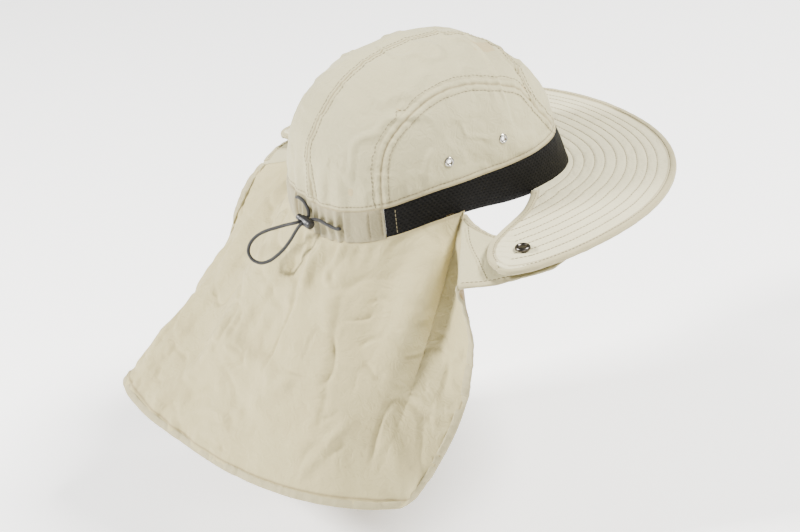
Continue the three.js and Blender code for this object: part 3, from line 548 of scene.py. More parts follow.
def tubeMesh(rings):  # points, faces and uv of a tube with closed ends
    count, sides = rings.shape[:2]
    points = np.concatenate([rings.reshape(-1, 3), rings[0].mean(0)[None], rings[-1].mean(0)[None]])
    i, k = np.meshgrid(np.arange(count - 1), np.arange(sides), indexing="ij")
    nextK = (k + 1) % sides
    quads = np.stack([i * sides + k, i * sides + nextK, (i + 1) * sides + nextK, (i + 1) * sides + k], -1)
    faces = [list(q) for q in quads.reshape(-1, 4)]
    last = (count - 1) * sides
    for k in range(sides):
        faces.append([count * sides, (k + 1) % sides, k])
        faces.append([count * sides + 1, last + k, last + (k + 1) % sides])
    lengths = lengthsAlong(rings.mean(1))
    uv = np.stack(np.broadcast_arrays(lengths[:, None], np.arange(sides)[None] / sides / mm), -1).reshape(-1, 2)
    return points, faces, np.concatenate([uv, [[0, 0], [lengths[-1], 0]]])


def latheMesh(profile, sides, place, axis):  # turned body; the profile runs from one end to the other
    axis = unit(np.array(axis, float))
    side = unit(np.cross(axis, (0.3, 0.2, 1.) if abs(axis[2]) < .9 else (1., 0, 0)))
    ring = circle(side, np.cross(axis, side), sides)
    profile = np.array(profile, float)
    return tubeMesh(np.array(place) + profile[:, 0, None, None] * ring + profile[:, 1, None, None] * axis)


def joinMeshes(parts):
    points, faces, uv, start = [], [], [], 0
    for partPoints, partFaces, partUv in parts:
        points.append(partPoints)
        uv.append(partUv)
        faces += [[v + start for v in face] for face in partFaces]
        start += len(partPoints)
    return np.concatenate(points), faces, np.concatenate(uv)


# half of a folded tape's outline, in shares of its width and thickness, and then the whole
tapeHalf = np.array([(-.02, 0), (.03, .3), (.12, .46), (.5, .5), (.9, .5), (1, .36), (1, .05)])
tapeOutline = np.concatenate([tapeHalf, (tapeHalf * (1, -1))[:0:-1]])


def tape(edge, inward, normal, width, thickness, seed, ripple):  # folded tape that wraps an edge
    lengths = lengthsAlong(edge)
    spot = np.stack([lengths, 0 * lengths, 0 * lengths], -1)
    wide = width * (1 + .05 * smoothNoise(spot, 14, seed))
    thick = thickness * (1 + ripple * .5 * smoothNoise(spot, 3.1, seed + 1))
    lift = .22 * ripple * thickness * smoothNoise(spot, 5.3, seed + 2)
    rings = (edge[:, None] + tapeOutline[None, :, :1] * wide[:, None, None] * inward[:, None]
             + (tapeOutline[None, :, 1:] * thick[:, None, None] + lift[:, None, None]) * normal[:, None])
    points, faces, uv = tubeMesh(rings)
    around = lengthsAlong(tapeOutline * (width, thickness))
    uv[:-2] = np.stack(np.broadcast_arrays(lengths[:, None], around[None]), -1).reshape(-1, 2)
    return points, faces, uv


# sewing threads; each row of a stitch says where along it, how far off the cloth and how thick
threadLook = {"pitch": 3.1, "length": 2.7, "radius": .24, "rise": .02, "sides": 6, "flatness": .8, "reach": .006,
              "depth": .014, "stitch": np.array([(-.5, -.9, .2), (-.36, .25, .8), (-.12, .8, 1), (.12, .8, 1),
                                                 (.36, .25, .8), (.5, -.9, .2)])}
threadParts = []


def surfaceOf(*names):  # finished pieces as one surface to cast rays at
    points, faces = [], []
    for name in names:
        start = len(points)
        mesh = pieces[name].data
        points += [v.co.copy() for v in mesh.vertices]
        faces += [[v + start for v in face.vertices] for face in mesh.polygons]
    return BVHTree.FromPolygons(points, faces)


def layOn(tree, line, outward):  # moves a line onto the side of a piece that faces outward
    placed, normals = [], []
    for point, out in zip(np.asarray(line) * mm, outward):
        start = Vector(point + out * threadLook["reach"])
        hit, normal, _, _ = tree.ray_cast(start, Vector(-out), threadLook["depth"])
        if hit is None:
            hit, normal, _, _ = tree.find_nearest(Vector(point))
        normal = np.array(normal)
        placed.append(np.array(hit) / mm)
        normals.append(normal if normal @ out > 0 else -normal)
    return np.array(placed), unit(np.array(normals))


def addStitches(tree, line, outward):  # short threads that dip into the cloth at both ends
    line, normals = layOn(tree, line, unit(np.asarray(outward, float)))
    ahead, off, size = threadLook["stitch"].T
    lengths = lengthsAlong(line)
    for k in range(int(lengths[-1] / threadLook["pitch"])):
        at = (k + .5) * threadLook["pitch"] + ahead * threadLook["length"]
        place, out = sampleAt(at, lengths, line), unit(sampleAt(at, lengths, normals))
        side = unit(np.cross(unit(place[-1] - place[0]), out))
        middle = place + out * (off * threadLook["radius"] + threadLook["rise"])[:, None]
        ring = circle(side, out * threadLook["flatness"], threadLook["sides"])
        threadParts.append(tubeMesh(middle[:, None] + (size * threadLook["radius"])[:, None, None] * ring))


def castAt(tree, starts, direction):  # places and normals where rays meet a surface
    found = [tree.ray_cast(Vector(np.array(start) * mm), Vector(direction))[:2] for start in starts]
    return [(np.array(hit) / mm, np.array(normal)) for hit, normal in found if hit]


# drawcord: route from its left tunnel mouth through the toggle, round the loop, to the right mouth
cordLook = {"diameter": 2.5, "sides": 14, "step": .5}
cordRoute = [
    (.0126, .1007, .0222), (.0093, .1013, .0238), (.0045, .1015, .024), (0, .1013, .0226), (-.0034, .1012, .0196),
    (-.0055, .1016, .0168), (-.0067, .1028, .0148), (-.0071, .105, .0136), (-.0072, .1086, .0131),
    (-.0069, .1116, .013), (-.0044, .1148, .0121), (.0015, .1178, .0096), (.0075, .1223, .0068),
    (.013, .127, .0042), (.018, .1316, .0008), (.0216, .1356, -.0036), (.0234, .1386, -.0088),
    (.0232, .1398, -.0138), (.02, .139, -.018),
    (.0146, .1356, -.02), (.009, .1308, -.0178), (.0044, .126, -.013), (.0006, .1217, -.0076),
    (-.0032, .1176, -.0006), (-.007, .1142, .007), (-.0094, .1114, .0116), (-.0101, .108, .013),
    (-.0101, .105, .0132), (-.0107, .1029, .0134), (-.0126, .1013, .0138), (-.0156, .1008, .0144),
    (-.02, .1003, .0149), (-.026, .099, .014), (-.031, .0975, .0132), (-.035, .0962, .0129),
    (-.0383, .095, .0135)]


def smoothRoute(route, step):  # centripetal curve through the points of a route
    points = np.asarray(route, float)
    points = np.concatenate([[2 * points[0] - points[1]], points, [2 * points[-1] - points[-2]]])
    line = []
    for a, b, c, d in zip(points, points[1:], points[2:], points[3:]):
        t0 = 0.
        t1, t2, t3 = np.cumsum([np.linalg.norm(q - p) ** .5 for p, q in ((a, b), (b, c), (c, d))])
        for t in np.linspace(t1, t2, max(int(np.linalg.norm(c - b) / step), 2), endpoint=False):
            ab, bc, cd = ((a * (t1 - t) + b * (t - t0)) / (t1 - t0), (b * (t2 - t) + c * (t - t1)) / (t2 - t1),
                          (c * (t3 - t) + d * (t - t2)) / (t3 - t2))
            abc, bcd = (ab * (t2 - t) + bc * (t - t0)) / (t2 - t0), (bc * (t3 - t) + cd * (t - t1)) / (t3 - t1)
            line.append((abc * (t2 - t) + bcd * (t - t1)) / (t2 - t1))
    line.append(points[-2])
    return np.array(line)


cordLine = smoothRoute(np.array(cordRoute) / mm, cordLook["step"])
cordPoints, cordFaces, cordUv = tubeMesh(sweep(cordLine, cordLook["sides"], cordLook["diameter"] / 2))
cordPiece = addPiece("elasticCord", cordPoints, cordFaces, braidFinish, "cord", ["drawcord"], cordUv)

# spring toggle: barrel with moulded ribs, a cross hole for both strands, and a button
toggleLook = {"seat": (-8.7, 107.2, 13.1), "axis": (.969, .147, .193), "strand": (-.142, .989, -.041),
              "length": 16, "radius": 3.4, "button": 2.5, "hole": (3.4, 1.9), "holeDepth": 2.6, "collar": .35,
              "sides": 72, "step": .35}
barrelFoot = [(0, 0), (.55, 0), (.82, .25), (.97, .8), (1, 1.4), (1, 2.2), (.95, 2.5), (.95, 3.1), (1, 3.4)]
barrelHead = [(1, 5.6), (1, 5.1), (.97, 4.6), (.86, 4.2)]  # shares of the radius, and how far below the end
buttonShape = [(1, 3.9), (1, 1.3), (.96, .7), (.8, .25), (.5, 0), (0, 0)]


def makeToggle():
    half, radius, button = toggleLook["length"] / 2, toggleLook["radius"], toggleLook["button"]
    axis, seat = unit(np.array(toggleLook["axis"])), np.array(toggleLook["seat"])
    profile = [(radius * r, -half + h) for r, h in barrelFoot] + [(radius * r, half - h) for r, h in barrelHead]
    profile += [(button + .25, half - 4)] + [(button * r, half - h) for r, h in buttonShape]
    dense = []
    for (r0, h0), (r1, h1) in zip(profile[:-1], profile[1:]):
        steps = max(int(math.hypot(r1 - r0, h1 - h0) / toggleLook["step"]), 1)
        dense += [(r0 + (r1 - r0) * k / steps, h0 + (h1 - h0) * k / steps) for k in range(steps)]
    points, faces, _ = latheMesh(dense + profile[-1:], toggleLook["sides"], seat, axis)
    strand = unit(np.array(toggleLook["strand"]))
    across = unit(np.cross(strand, axis))
    local = points - seat
    wide, tall = toggleLook["hole"]
    reach = np.sqrt((local @ axis / wide) ** 2 + (local @ across / tall) ** 2)
    facing = local @ strand
    push = toggleLook["collar"] * bell(reach - 1.1, .1) - toggleLook["holeDepth"] * (1 - ease(.72, 1., reach))
    push = np.where((np.abs(facing) > 1) & (reach < 1.25), np.sign(facing) * push, 0)
    return points + strand * push[:, None], faces


toggle = addPiece("springToggle", *makeToggle(), plasticFinish, "toggle_plastic", ["cord_toggle"])
print("toggle made")

# crown: five panels of one dome, with welted seams and topstitching
crownLook = {"around": 560, "up": 138, "liningAround": 220, "liningUp": 56, "girth": 585, "wall": 1.2,
             "foot": -.9, "weltWidth": 5., "centreWelt": 3.4, "welt": .4, "groove": .9, "pucker": .55,
             "dents": 2.1, "facets": .8, "wrinkles": 1.5, "crumple": .25, "gather": 1.7, "seamRows": 5.,
             "centreRows": 3.2, "hemRow": 2.6, "eyeletHole": 2.4, "core": (0, 40)}
archSeam = np.array([(72.5, 15), (72.2, 38), (70.8, 51), (67, 64), (61, 74), (51, 83), (38, 90.5), (23.6, 96),
                     (6, 98.6), (-13, 97.5), (-29, 93), (-44, 87.5), (-53, 82), (-58, 75), (-65, 64), (-75, 51),
                     (-86, 36), (-92, 15)], float)
centreSeam = np.array([(0, -10), (26, -10), (40, -8), (55, -3), (68, 0), (140, 0)], float)
frontSeam = -63
eyeletSeats = [(23, 55.5), (-23.3, 58.5)]
archLine = smoothRoute(np.column_stack([archSeam, 0 * archSeam[:, 0]]), 2.)[:, :2]


def crownGrid(around, up, inset):
    angle = np.arange(around) * 360 / around
    foot = bandEdge(angle, 2) + crownLook["foot"]
    share = np.linspace(0, .992, up)
    height = foot[:, None] + (crown["height"] - inset - foot[:, None]) * np.sin(share * np.pi / 2)[None]
    return headPoint(angle[:, None], height, inset), angle


def tangentScale(direction, normals):  # share of a direction that runs along the surface
    return np.sqrt(np.maximum(1 - (direction * normals).sum(-1) ** 2, .05))


def seamDistances(points, normals):
    flat = points[..., 1:]
    distance = np.full(flat.shape[:-1], 1e9)
    nearest, alongArch = np.zeros(flat.shape), np.zeros(flat.shape[:-1])
    for number, (a, b) in enumerate(zip(archLine[:-1], archLine[1:])):
        t = np.clip(((flat - a) @ (b - a)) / ((b - a) @ (b - a)), 0, 1)
        spot = a + t[..., None] * (b - a)
        gap = np.linalg.norm(flat - spot, axis=-1)
        closer = gap < distance
        distance = np.where(closer, gap, distance)
        nearest = np.where(closer[..., None], spot, nearest)
        alongArch = np.where(closer, (number + t) * 2, alongArch)
    toward = unit(np.concatenate([np.zeros(flat.shape[:-1] + (1,)), flat - nearest], -1))
    arch = distance / tangentScale(toward, normals)
    core = crownLook["core"]
    inside = np.linalg.norm(flat - core, axis=-1) < np.linalg.norm(nearest - core, axis=-1)
    lean = np.interp(points[..., 2], centreSeam[:, 0], centreSeam[:, 1])
    centre = np.abs(points[..., 0] - lean) / tangentScale(np.array([1., 0, 0]), normals)
    front = np.abs(points[..., 1] - frontSeam) / tangentScale(np.array([0, 1., 0]), normals)
    centre = np.where(inside | (points[..., 1] < frontSeam), 1e3, centre)
    front = np.where(inside, 1e3, front)
    return arch, centre, front, alongArch


def domeUv(angle, grid):
    uv = np.broadcast_arrays(angle[:, None] / 360 * crownLook["girth"], arcLengthUv(grid)[..., 1])
    return np.stack(uv, -1).reshape(-1, 2)


def addDome(name, grid, points, hole, finish, uv, nodes=(), seam=None, innerFace=False):  # open at the eyelets
    keep = np.ones(grid.shape[:2], bool)
    for seat in eyeletPlaces:
        keep &= np.linalg.norm(grid - seat["place"], axis=-1) > hole
    around, up = keep.shape
    faces = list(map(list, gridFaces(around, up, wraps=True, flip=innerFace, keep=keep)))
    top = [i * up + up - 1 for i in range(around)]
    faces.append(top[::-1] if innerFace else top)
    addPiece(name, points.reshape(-1, 3), faces, finish, "cloth", nodes, uv, seam, innerFace)


def makeCrown():
    grid, angle = crownGrid(crownLook["around"], crownLook["up"], 0)
    normals = gridNormals(grid, True)
    if normals[0, 0] @ np.array([0, 1, .2]) < 0:
        normals = -normals
    arch, centre, front, alongArch = seamDistances(grid, normals)
    lift = crownLook["dents"] * (smoothNoise(grid, 46, 3) * .55 + smoothNoise(grid, 22, 4) * .45)
    facet = np.abs(smoothNoise(grid * (1, 1.2, .8), 15, 15))
    lift += crownLook["facets"] * (.4 - ease(0, .35, facet)) * ease(0, .6, smoothNoise(grid, 34, 16) + .15)
    crease = np.abs(smoothNoise(grid * (1, 1.9, 1.2), 30, 5))
    lift += crownLook["wrinkles"] * (.5 - ease(0, .22, crease)) * ease(.1, .6, smoothNoise(grid, 60, 6) + .35)
    lift += crownLook["crumple"] * smoothNoise(grid, 7, 7) + .05 * smoothNoise(grid, 3, 8)
    middle = (crownLook["centreRows"], crownLook["centreWelt"])
    seams = ((arch, crownLook["seamRows"], crownLook["weltWidth"], alongArch),
             (centre, *middle, grid[..., 2] - grid[..., 1]), (front, *middle, grid[..., 0]))
    for distance, half, width, course in seams:
        lift += crownLook["welt"] * (1 - ease(width - .8, width + 1.4, distance))
        lift -= crownLook["groove"] * bell(distance, .9) + .45 * bell(distance - half, .9)
        course = np.stack([course, distance * .22, 0 * distance], -1)
        lift += crownLook["pucker"] * smoothNoise(course, 3.1, 9) * bell(distance, half * 1.5)
        lift += .5 * smoothNoise(course, 6.5, 10) * bell(distance - 1.4 * half, half * 1.3)
    above = grid[..., 2] - bandEdge(angle, 2)[:, None]
    lift += -.7 * bell(above - crownLook["hemRow"], .8) + .45 * smoothNoise(grid, 6.5, 11) * bell(above - 5, 7)
    fromBack = angle[:, None] - np.where(angle > 180, 360, 0)[:, None]
    gather = bell(fromBack - 8, 26) * (1 - ease(8, 36, above))
    folds = np.sin(np.radians(angle[:, None] * 30 + 50 * smoothNoise(grid, 30, 12)))
    lift += crownLook["gather"] * gather * (folds + .6 * smoothNoise(grid * (1, 1, .25), 5, 13))
    lift *= (1 - ease(.97, 1., grid[..., 2] / crown["height"]) * .5) * (.25 + .75 * ease(-1, 7, above))
    lift += .25 * ease(3, 0, above)
    # painted shade: the seam mask darkens the cloth in the seam grooves, along the stitch rows and hem row, and
    # at the foot where the crown meets the band
    seam = np.maximum(.5 * bell(above - crownLook["hemRow"], .8), .8 * ease(1.2, .2, above))
    for distance, half, _, _ in seams:
        seam = np.maximum(seam, np.maximum(.9 * bell(distance, .8), .3 * bell(distance - half, .7)))
    face = grid + normals * lift[..., None]
    addDome("crownCloth", grid, face, crownLook["eyeletHole"], clothFinish, domeUv(angle, grid),
            ["front_panel", "top_panel_right", "top_panel_left", "side_panel_right", "side_panel_left"], seam)


def makeCrownInside():
    grid, angle = crownGrid(crownLook["liningAround"], crownLook["liningUp"], crownLook["wall"])
    arch, centre, front, _ = seamDistances(grid, gridNormals(grid, True))
    sink = .7 * (bell(arch, 3) + bell(centre, 3) + bell(front, 3)) + .5 * smoothNoise(grid, 22, 14)
    face = grid - unit(grid * (1, 1, .5)) * (sink + .6)[..., None]
    hole = crownLook["eyeletHole"] + 1
    addDome("crownInside", grid, face, hole, insideWarmCopy, domeUv(angle, face), innerFace=True)


def findEyeletPlaces():
    places = []
    for y, z in eyeletSeats:
        angle = 90.
        for _ in range(30):
            angle -= (y - headPoint(angle, z)[1]) * .5
        place = headPoint(angle, z)
        outward = unit(np.cross(headPoint(angle, z + 1) - place, headPoint(angle + 1, z) - place))
        outward = outward if outward[0] < 0 else -outward
        for side in (-1, 1):
            mirror = np.array([-side, 1, 1])
            places.append({"place": place * mirror, "outward": outward * mirror, "side": side})
    return places


eyeletPlaces = findEyeletPlaces()
makeCrown()
makeCrownInside()
print("crown made")

# band of spacer mesh, and the cloth casing across the back
bandLook = {"start": 47.5, "stitchAngle": 52., "wall": 1.6, "around": 620, "up": 26, "hang": .25, "overlap": 1.2}
casingLook = {"end": 47.3, "wall": 1.2, "tunnel": 2.2, "mouths": (29.2, -10.7), "slit": .12, "around": 460,
              "up": 44, "gather": 1.9, "lip": .5, "legs": (41, 46)}


def bandRows(angle, up):  # shares and heights from just under the lower edge to the crown
    share = np.linspace(0, 1, up)[None]
    low, top = bandEdge(angle, 1)[:, None], bandEdge(angle, 2)[:, None]
    return share, low - bandLook["overlap"] + (top - low + bandLook["overlap"]) * share


def makeBand():
    angle = np.linspace(bandLook["start"], 360 - bandLook["start"], bandLook["around"])
    share, height = bandRows(angle, bandLook["up"])
    face, back = (headPoint(angle[:, None], height, inset) for inset in (0, bandLook["wall"]))
    out = gridNormals(face)
    out = out if out[0, 0] @ face[0, 0] > 0 else -out
    soft = bandLook["hang"] * smoothNoise(face, 15, 21) + .12 * smoothNoise(face, 5, 22)
    soft = soft - .6 * bell(share - 1, .06) - .5 * bell(share, .06)
    face = face + out * soft[..., None]
    addSheet("meshBand", face, back, arcLengthUv(face), meshFinish, "mesh", ["mesh_band"])


def makeCasing():
    end = casingLook["end"]
    right, left = casingLook["mouths"]
    angle = np.linspace(-end, end, casingLook["around"])
    for mouth in (right, left):
        nearest = np.argsort(np.abs(angle - mouth))[:2]
        angle[nearest.min()], angle[nearest.max()] = mouth - casingLook["slit"], mouth + casingLook["slit"]
    share, height = bandRows(angle, casingLook["up"])
    angle = angle[:, None]
    grid = headPoint(angle, height)
    isOpen = (angle < right) & (angle > left)
    arc = np.sin(np.pi * share)
    toMouth = np.minimum(np.abs(angle - right), np.abs(angle - left))
    folds = np.sin(np.radians(angle * 62 + 60 * smoothNoise(grid, 14, 31)))
    gather = casingLook["gather"] * folds * (.75 + .5 * smoothNoise(grid, 12, 32)) * (.35 + .65 * arc)
    puff = casingLook["tunnel"] * np.sqrt(arc) * ease(end, end - 8, np.abs(angle))
    puff = puff * (1 + .1 * smoothNoise(grid, 9, 33)) + .4 * gather * bell(toMouth, 4)
    puff = puff + casingLook["lip"] * bell(toMouth, 1.2)
    flat = gather * ease(0, 2.2, toMouth) * .8 + .2
    lift = np.where(isOpen, flat, puff) + .12 * smoothNoise(grid, 5, 34)
    # painted shade: the seam mask darkens the open tunnel mouths, the top and bottom edges and the stitched legs
    edges = np.maximum(.8 * ease(.05, 0, share), .75 * ease(.95, 1, share))
    seam = np.maximum(.9 * (toMouth < .3) * isOpen, edges)
    for leg in casingLook["legs"]:
        ridge = bell(np.abs(angle) - leg, .5)
        lift = lift - .5 * ridge * arc
        seam = np.maximum(seam, .45 * ridge)
    lift = lift - .5 * bell(share - 1, .05) + .5 * bell(share, .1)
    face = grid + unit(grid * (1, 1, 0)) * lift[..., None]
    back = headPoint(angle, height, casingLook["wall"])
    addSheet("cordCasing", face, back, arcLengthUv(face), casingShadedCopy, "cloth", ["rear_casing"], seam=seam)


makeBand()
makeCasing()
print("band and casing made")

# brim: stitched layers inside a folded edge tape
brimLook = {"halfWidth": 167, "reach": 187, "squareness": 2.2, "edgeHeight": 5, "camber": 1.6, "thickness": 3,
            "start": 114, "columns": 300, "rows": 118, "tuck": 2.2, "groove": .34, "pucker": .14, "wave": .8,
            "quiltRows": (13.9, 21, 28.7, 36.3, 43.9, 52.1, 59.7, 67.6, 75.4), "quiltPitch": 7.7, "puff": .14,
            "tapeWidth": 5.2, "tapeThickness": 4, "tapeStitch": 4.4, "tapeRings": 760}
brimTip = np.array([(-77.5, -42), (-86, -33), (-95.5, -21), (-103.5, -6), (-111, 9), (-119, 22), (-129, 31.5),
                    (-140, 37.5), (-151, 39), (-159.5, 35), (-164, 25), (-166.5, 12)], float)
tipEnd, tipSamples, tipSkip = 8, 16, 8  # its rearmost point, steps between points, steps hidden under the band


def tipLine():
    line = []
    last = len(brimTip) - 1
    for k in range(last):
        a, b = brimTip[max(k - 1, 0)], brimTip[k]
        c, d = brimTip[k + 1], brimTip[min(k + 2, last)]
        for t in np.arange(tipSamples) / tipSamples:
            v0, v1 = (c - a) / 2, (d - b) / 2
            line.append((2 * b - 2 * c + v0 + v1) * t ** 3 + (3 * c - 3 * b - 2 * v0 - v1) * t ** 2 + v0 * t + b)
    return np.array(line + [brimTip[-1]])


def brimOutline(pull):
    tip = tipLine()
    turn = np.pi * np.linspace(0, 1, 321)
    n = brimLook["squareness"]
    reach = (np.abs(np.cos(turn)) ** n + np.abs(np.sin(turn)) ** n) ** (-1 / n)
    curve = np.stack([-brimLook["halfWidth"] * reach * np.cos(turn),
                      -brimLook["reach"] * reach * np.sin(turn)], -1)
    whole = np.concatenate([tip, curve[4:-4], (tip * (-1, 1))[::-1]])
    before, after = np.concatenate([whole[:1], whole[:-1]]), np.concatenate([whole[1:], whole[-1:]])
    ahead = unit(after - before)
    pulled = whole + pull * np.stack([-ahead[:, 1], ahead[:, 0]], -1)
    apex = tipEnd * tipSamples
    end = len(whole) - 1 - apex
    return pulled[:apex + 1], pulled[apex:end + 1], pulled[end:]


def brimRootHeight(points):
    angle = np.degrees(np.arctan2(-points[..., 0] / rim["halfWidth"], points[..., 1] / rim["halfLength"]))
    band = bandEdge(np.maximum(np.abs(angle), brimLook["start"]), 1)
    away = np.clip((np.abs(points[..., 0]) - rim["halfWidth"]) / (brimLook["halfWidth"] - rim["halfWidth"]), 0, 1)
    return band + (brimLook["edgeHeight"] + 1 - band) * np.cbrt(away)


def brimPlan(pull, columns, rows):
    right, outer, left = brimOutline(pull)
    margin = pull * .75
    angle = np.arange(brimLook["start"] + margin, 360 - brimLook["start"] - margin, 2.)
    bandLine = headPoint(angle, bandEdge(angle, 1), 1.)[:, :2]
    root = spread(np.concatenate([right[tipSkip:][::-1], bandLine, left[:-tipSkip][::-1]]), columns - 1)
    edge = spread(outer, columns - 1)
    share = np.linspace(0, 1, rows)[None, :, None]
    return root[:, None] * (1 - share) + edge[:, None] * share, root, share[..., 0]


def makeBrim():
    plan, root, share = brimPlan(brimLook["tuck"], brimLook["columns"], brimLook["rows"])
    arc = np.sin(np.pi * share)
    height = brimRootHeight(root)[:, None] * (1 - share) + brimLook["edgeHeight"] * share
    height = height + brimLook["camber"] * arc
    grid = np.concatenate([plan, height[..., None]], -1)
    right, outer, left = brimOutline(0)
    distance = segmentDistance(plan, outer[::2])
    wave = brimLook["wave"] * smoothNoise(grid, 55, 41) * arc + .25 * smoothNoise(grid, 20, 42)
    first = brimLook["quiltRows"][0]
    puffy = np.abs(np.sin(np.pi * ((distance - first) / brimLook["quiltPitch"]))) ** .6 * ease(9, first, distance)
    puffy = puffy * brimLook["puff"]
    face = wave + puffy + brimLook["pucker"] * smoothNoise(grid, 3.6, 43) * ease(12, 14, distance)
    face = face + .1 * smoothNoise(grid, 9, 44)
    # painted shade: the seam mask darkens the quilting grooves and a line beside the tape's inner edge
    seam = 0 * distance
    for row in brimLook["quiltRows"]:
        face = face - brimLook["groove"] * bell(distance - row, .8)
        seam = np.maximum(seam, .32 * bell(distance - row, .7))
    toEar = np.minimum(segmentDistance(plan, right[::3]), segmentDistance(plan, left[::3]))
    seam = np.maximum(seam, .8 * bell(np.minimum(distance, toEar) - brimLook["tapeWidth"] - .5, .6))
    thin = brimLook["thickness"] / 2 - .15
    under = wave - thin - .6 * puffy + brimLook["groove"] * 1.3 * seam + .2 * smoothNoise(grid, 3.6, 45)
    top, bottom = (grid + upright * lift[..., None] for lift in (thin + face, under))
    addSheet("brimCloth", top, bottom, plan, brimLitCopy, "cloth", ["brim"], seam=seam)


def makeBrimTape():
    outer, inner = (np.concatenate([right, line[1:-1], left]) for right, line, left in
                    (brimOutline(0), brimOutline(brimLook["tapeWidth"])))
    number, ears = np.arange(len(outer)), len(brimOutline(0)[0])
    isEar = (number < ears) | (number > len(outer) - 1 - ears)
    height = np.where(isEar, brimRootHeight(outer), brimLook["edgeHeight"])
    edge = np.concatenate([outer, height[:, None]], -1)
    lengths = lengthsAlong(edge)
    want = np.linspace(0, lengths[-1], brimLook["tapeRings"])
    inward = unit(np.concatenate([inner - outer, 0 * height[:, None]], -1))
    edge, inward = sampleAt(want, lengths, edge), unit(sampleAt(want, lengths, inward))
    edge[:, 2] += brimLook["wave"] * smoothNoise(edge, 55, 41) * .3
    normal = np.tile(upright, (len(edge), 1))
    points, faces, uv = tape(edge, inward, normal, brimLook["tapeWidth"], brimLook["tapeThickness"], 47, .12)
    addPiece("brimTape", points, faces, tapeFinish, "tape", ["brim_binding"], uv)
    return edge, inward, normal


makeBrim()
brimEdge = makeBrimTape()
print("brim made")

# neck flap, its tape and the tabs under the brim tips
flapLook = {"columns": 290, "rows": 150, "wall": 1.2, "tuck": 1.6, "halfHem": 235, "ribLength": 185, "start": .91,
            "rise": .065, "tapeWidth": 6, "tapeThickness": 2.2, "tapeStitch": 5.1, "tapeRings": 860,
            "cut": (.47, .185), "soft": 2.3, "crumple": .3, "creaseScale": 1.15, "creases": 1.5, "facets": 1.5,
            "gather": 1.1, "under": .018, "tabGap": .006}
flapFolds = [  # place, half width, depth, from, to, lean
    (-.64, .08, -9, .02, .66, .05), (-.77, .06, 5, .05, .6, .02), (-.52, .06, 4, .05, .7, .02),
    (-.3, .05, -4, .02, .45, .1), (-.14, .04, -4.5, .02, .4, .08), (-.02, .05, 3.5, .05, .8, .05),
    (.2, .07, -4, .1, .9, .03), (.42, .07, 4, .1, .95, 0), (.66, .06, -8, .02, .6, -.03)]
flapCreases = [  # height in millimetres, half width in millimetres, line of places and shares
    (-3.2, 5, [(-.245, .005), (-.245, .065), (-.23, .135)]), (-2.6, 5, [(-.125, .03), (-.135, .175)]),
    (-2.6, 7, [(.16, .55), (.03, .55), (-.115, .575)]), (-3.2, 9, [(-.06, .675), (-.2, .58)]),
    (1.1, 3.4, [(-.325, .225), (-.36, .42), (-.405, .7)]), (-1.5, 8, [(-.30, .235), (-.335, .43), (-.38, .7)]),
    (-3.4, 9, [(.235, .52), (.32, .71), (.435, .905)]), (2.2, 7, [(.285, .83), (.195, .75)]),
    (-2., 6, [(.315, .955), (.19, .835), (.01, .76)]), (-1.8, 6, [(.165, .94), (-.08, .805)]),
    (-2.4, 17, [(-.59, .06), (-.575, .3), (-.59, .5)]),
    (1.2, 5, [(-.625, .02), (-.665, .095), (-.695, .215), (-.725, .24)]),
    (-1.8, 5, [(-.835, .42), (-.905, .375)]), (-1.8, 5, [(-.855, .61), (-.96, .595)]),
    (-1.5, 5, [(-.855, .685), (-.96, .69)]),
    (-2.4, 7, [(-.69, .765), (-.785, .86), (-.905, .96)]), (1.8, 9, [(.01, .09), (.085, .32), (.12, .46)]),
    (-1.8, 8, [(-.055, .27), (.065, .405)]), (-1.4, 6, [(-.47, .765), (-.325, .785)]),
    (-1.5, 6, [(-.51, .71), (-.415, .89)]), (-2.2, 8, [(.62, .2), (.68, .5), (.7, .8)]),
    (1.8, 8, [(.5, .35), (.53, .7), (.55, .93)]), (-1.8, 7, [(.8, .5), (.86, .75)])]


def flapSurface(place, share):
    place, share = np.broadcast_arrays(np.asarray(place, float), np.asarray(share, float))
    turn = np.clip((np.abs(place) - flapLook["start"]) / (1 - flapLook["start"]), 0, 1)
    v = share * (1 - flapLook["rise"] * (1 - np.sqrt(1 - turn * turn)))
    point = flapPlain(place, v)
    step = .01
    across = flapPlain(np.minimum(place + step, 1), v) - flapPlain(np.maximum(place - step, -1), v)
    down = flapPlain(place, v + step) - flapPlain(place, np.maximum(v - step, 0))
    out = unit(np.cross(down, across))
    lift = 0 * v
    for at, width, depth, start, stop, lean in flapFolds:
        fade = ease(start, start + .12, v) * (1 - ease(stop - .3, stop, v))
        lift = lift + depth * np.exp(-((place - at - lean * v) / (width * (1 + v))) ** 2) * fade
    return point + out * lift[..., None], out


def flapPlan(place, share):  # millimetres across and down the flat cloth
    sizes = np.asarray(place) * flapLook["halfHem"], np.asarray(share) * flapLook["ribLength"]
    return np.stack(np.broadcast_arrays(*sizes), -1)


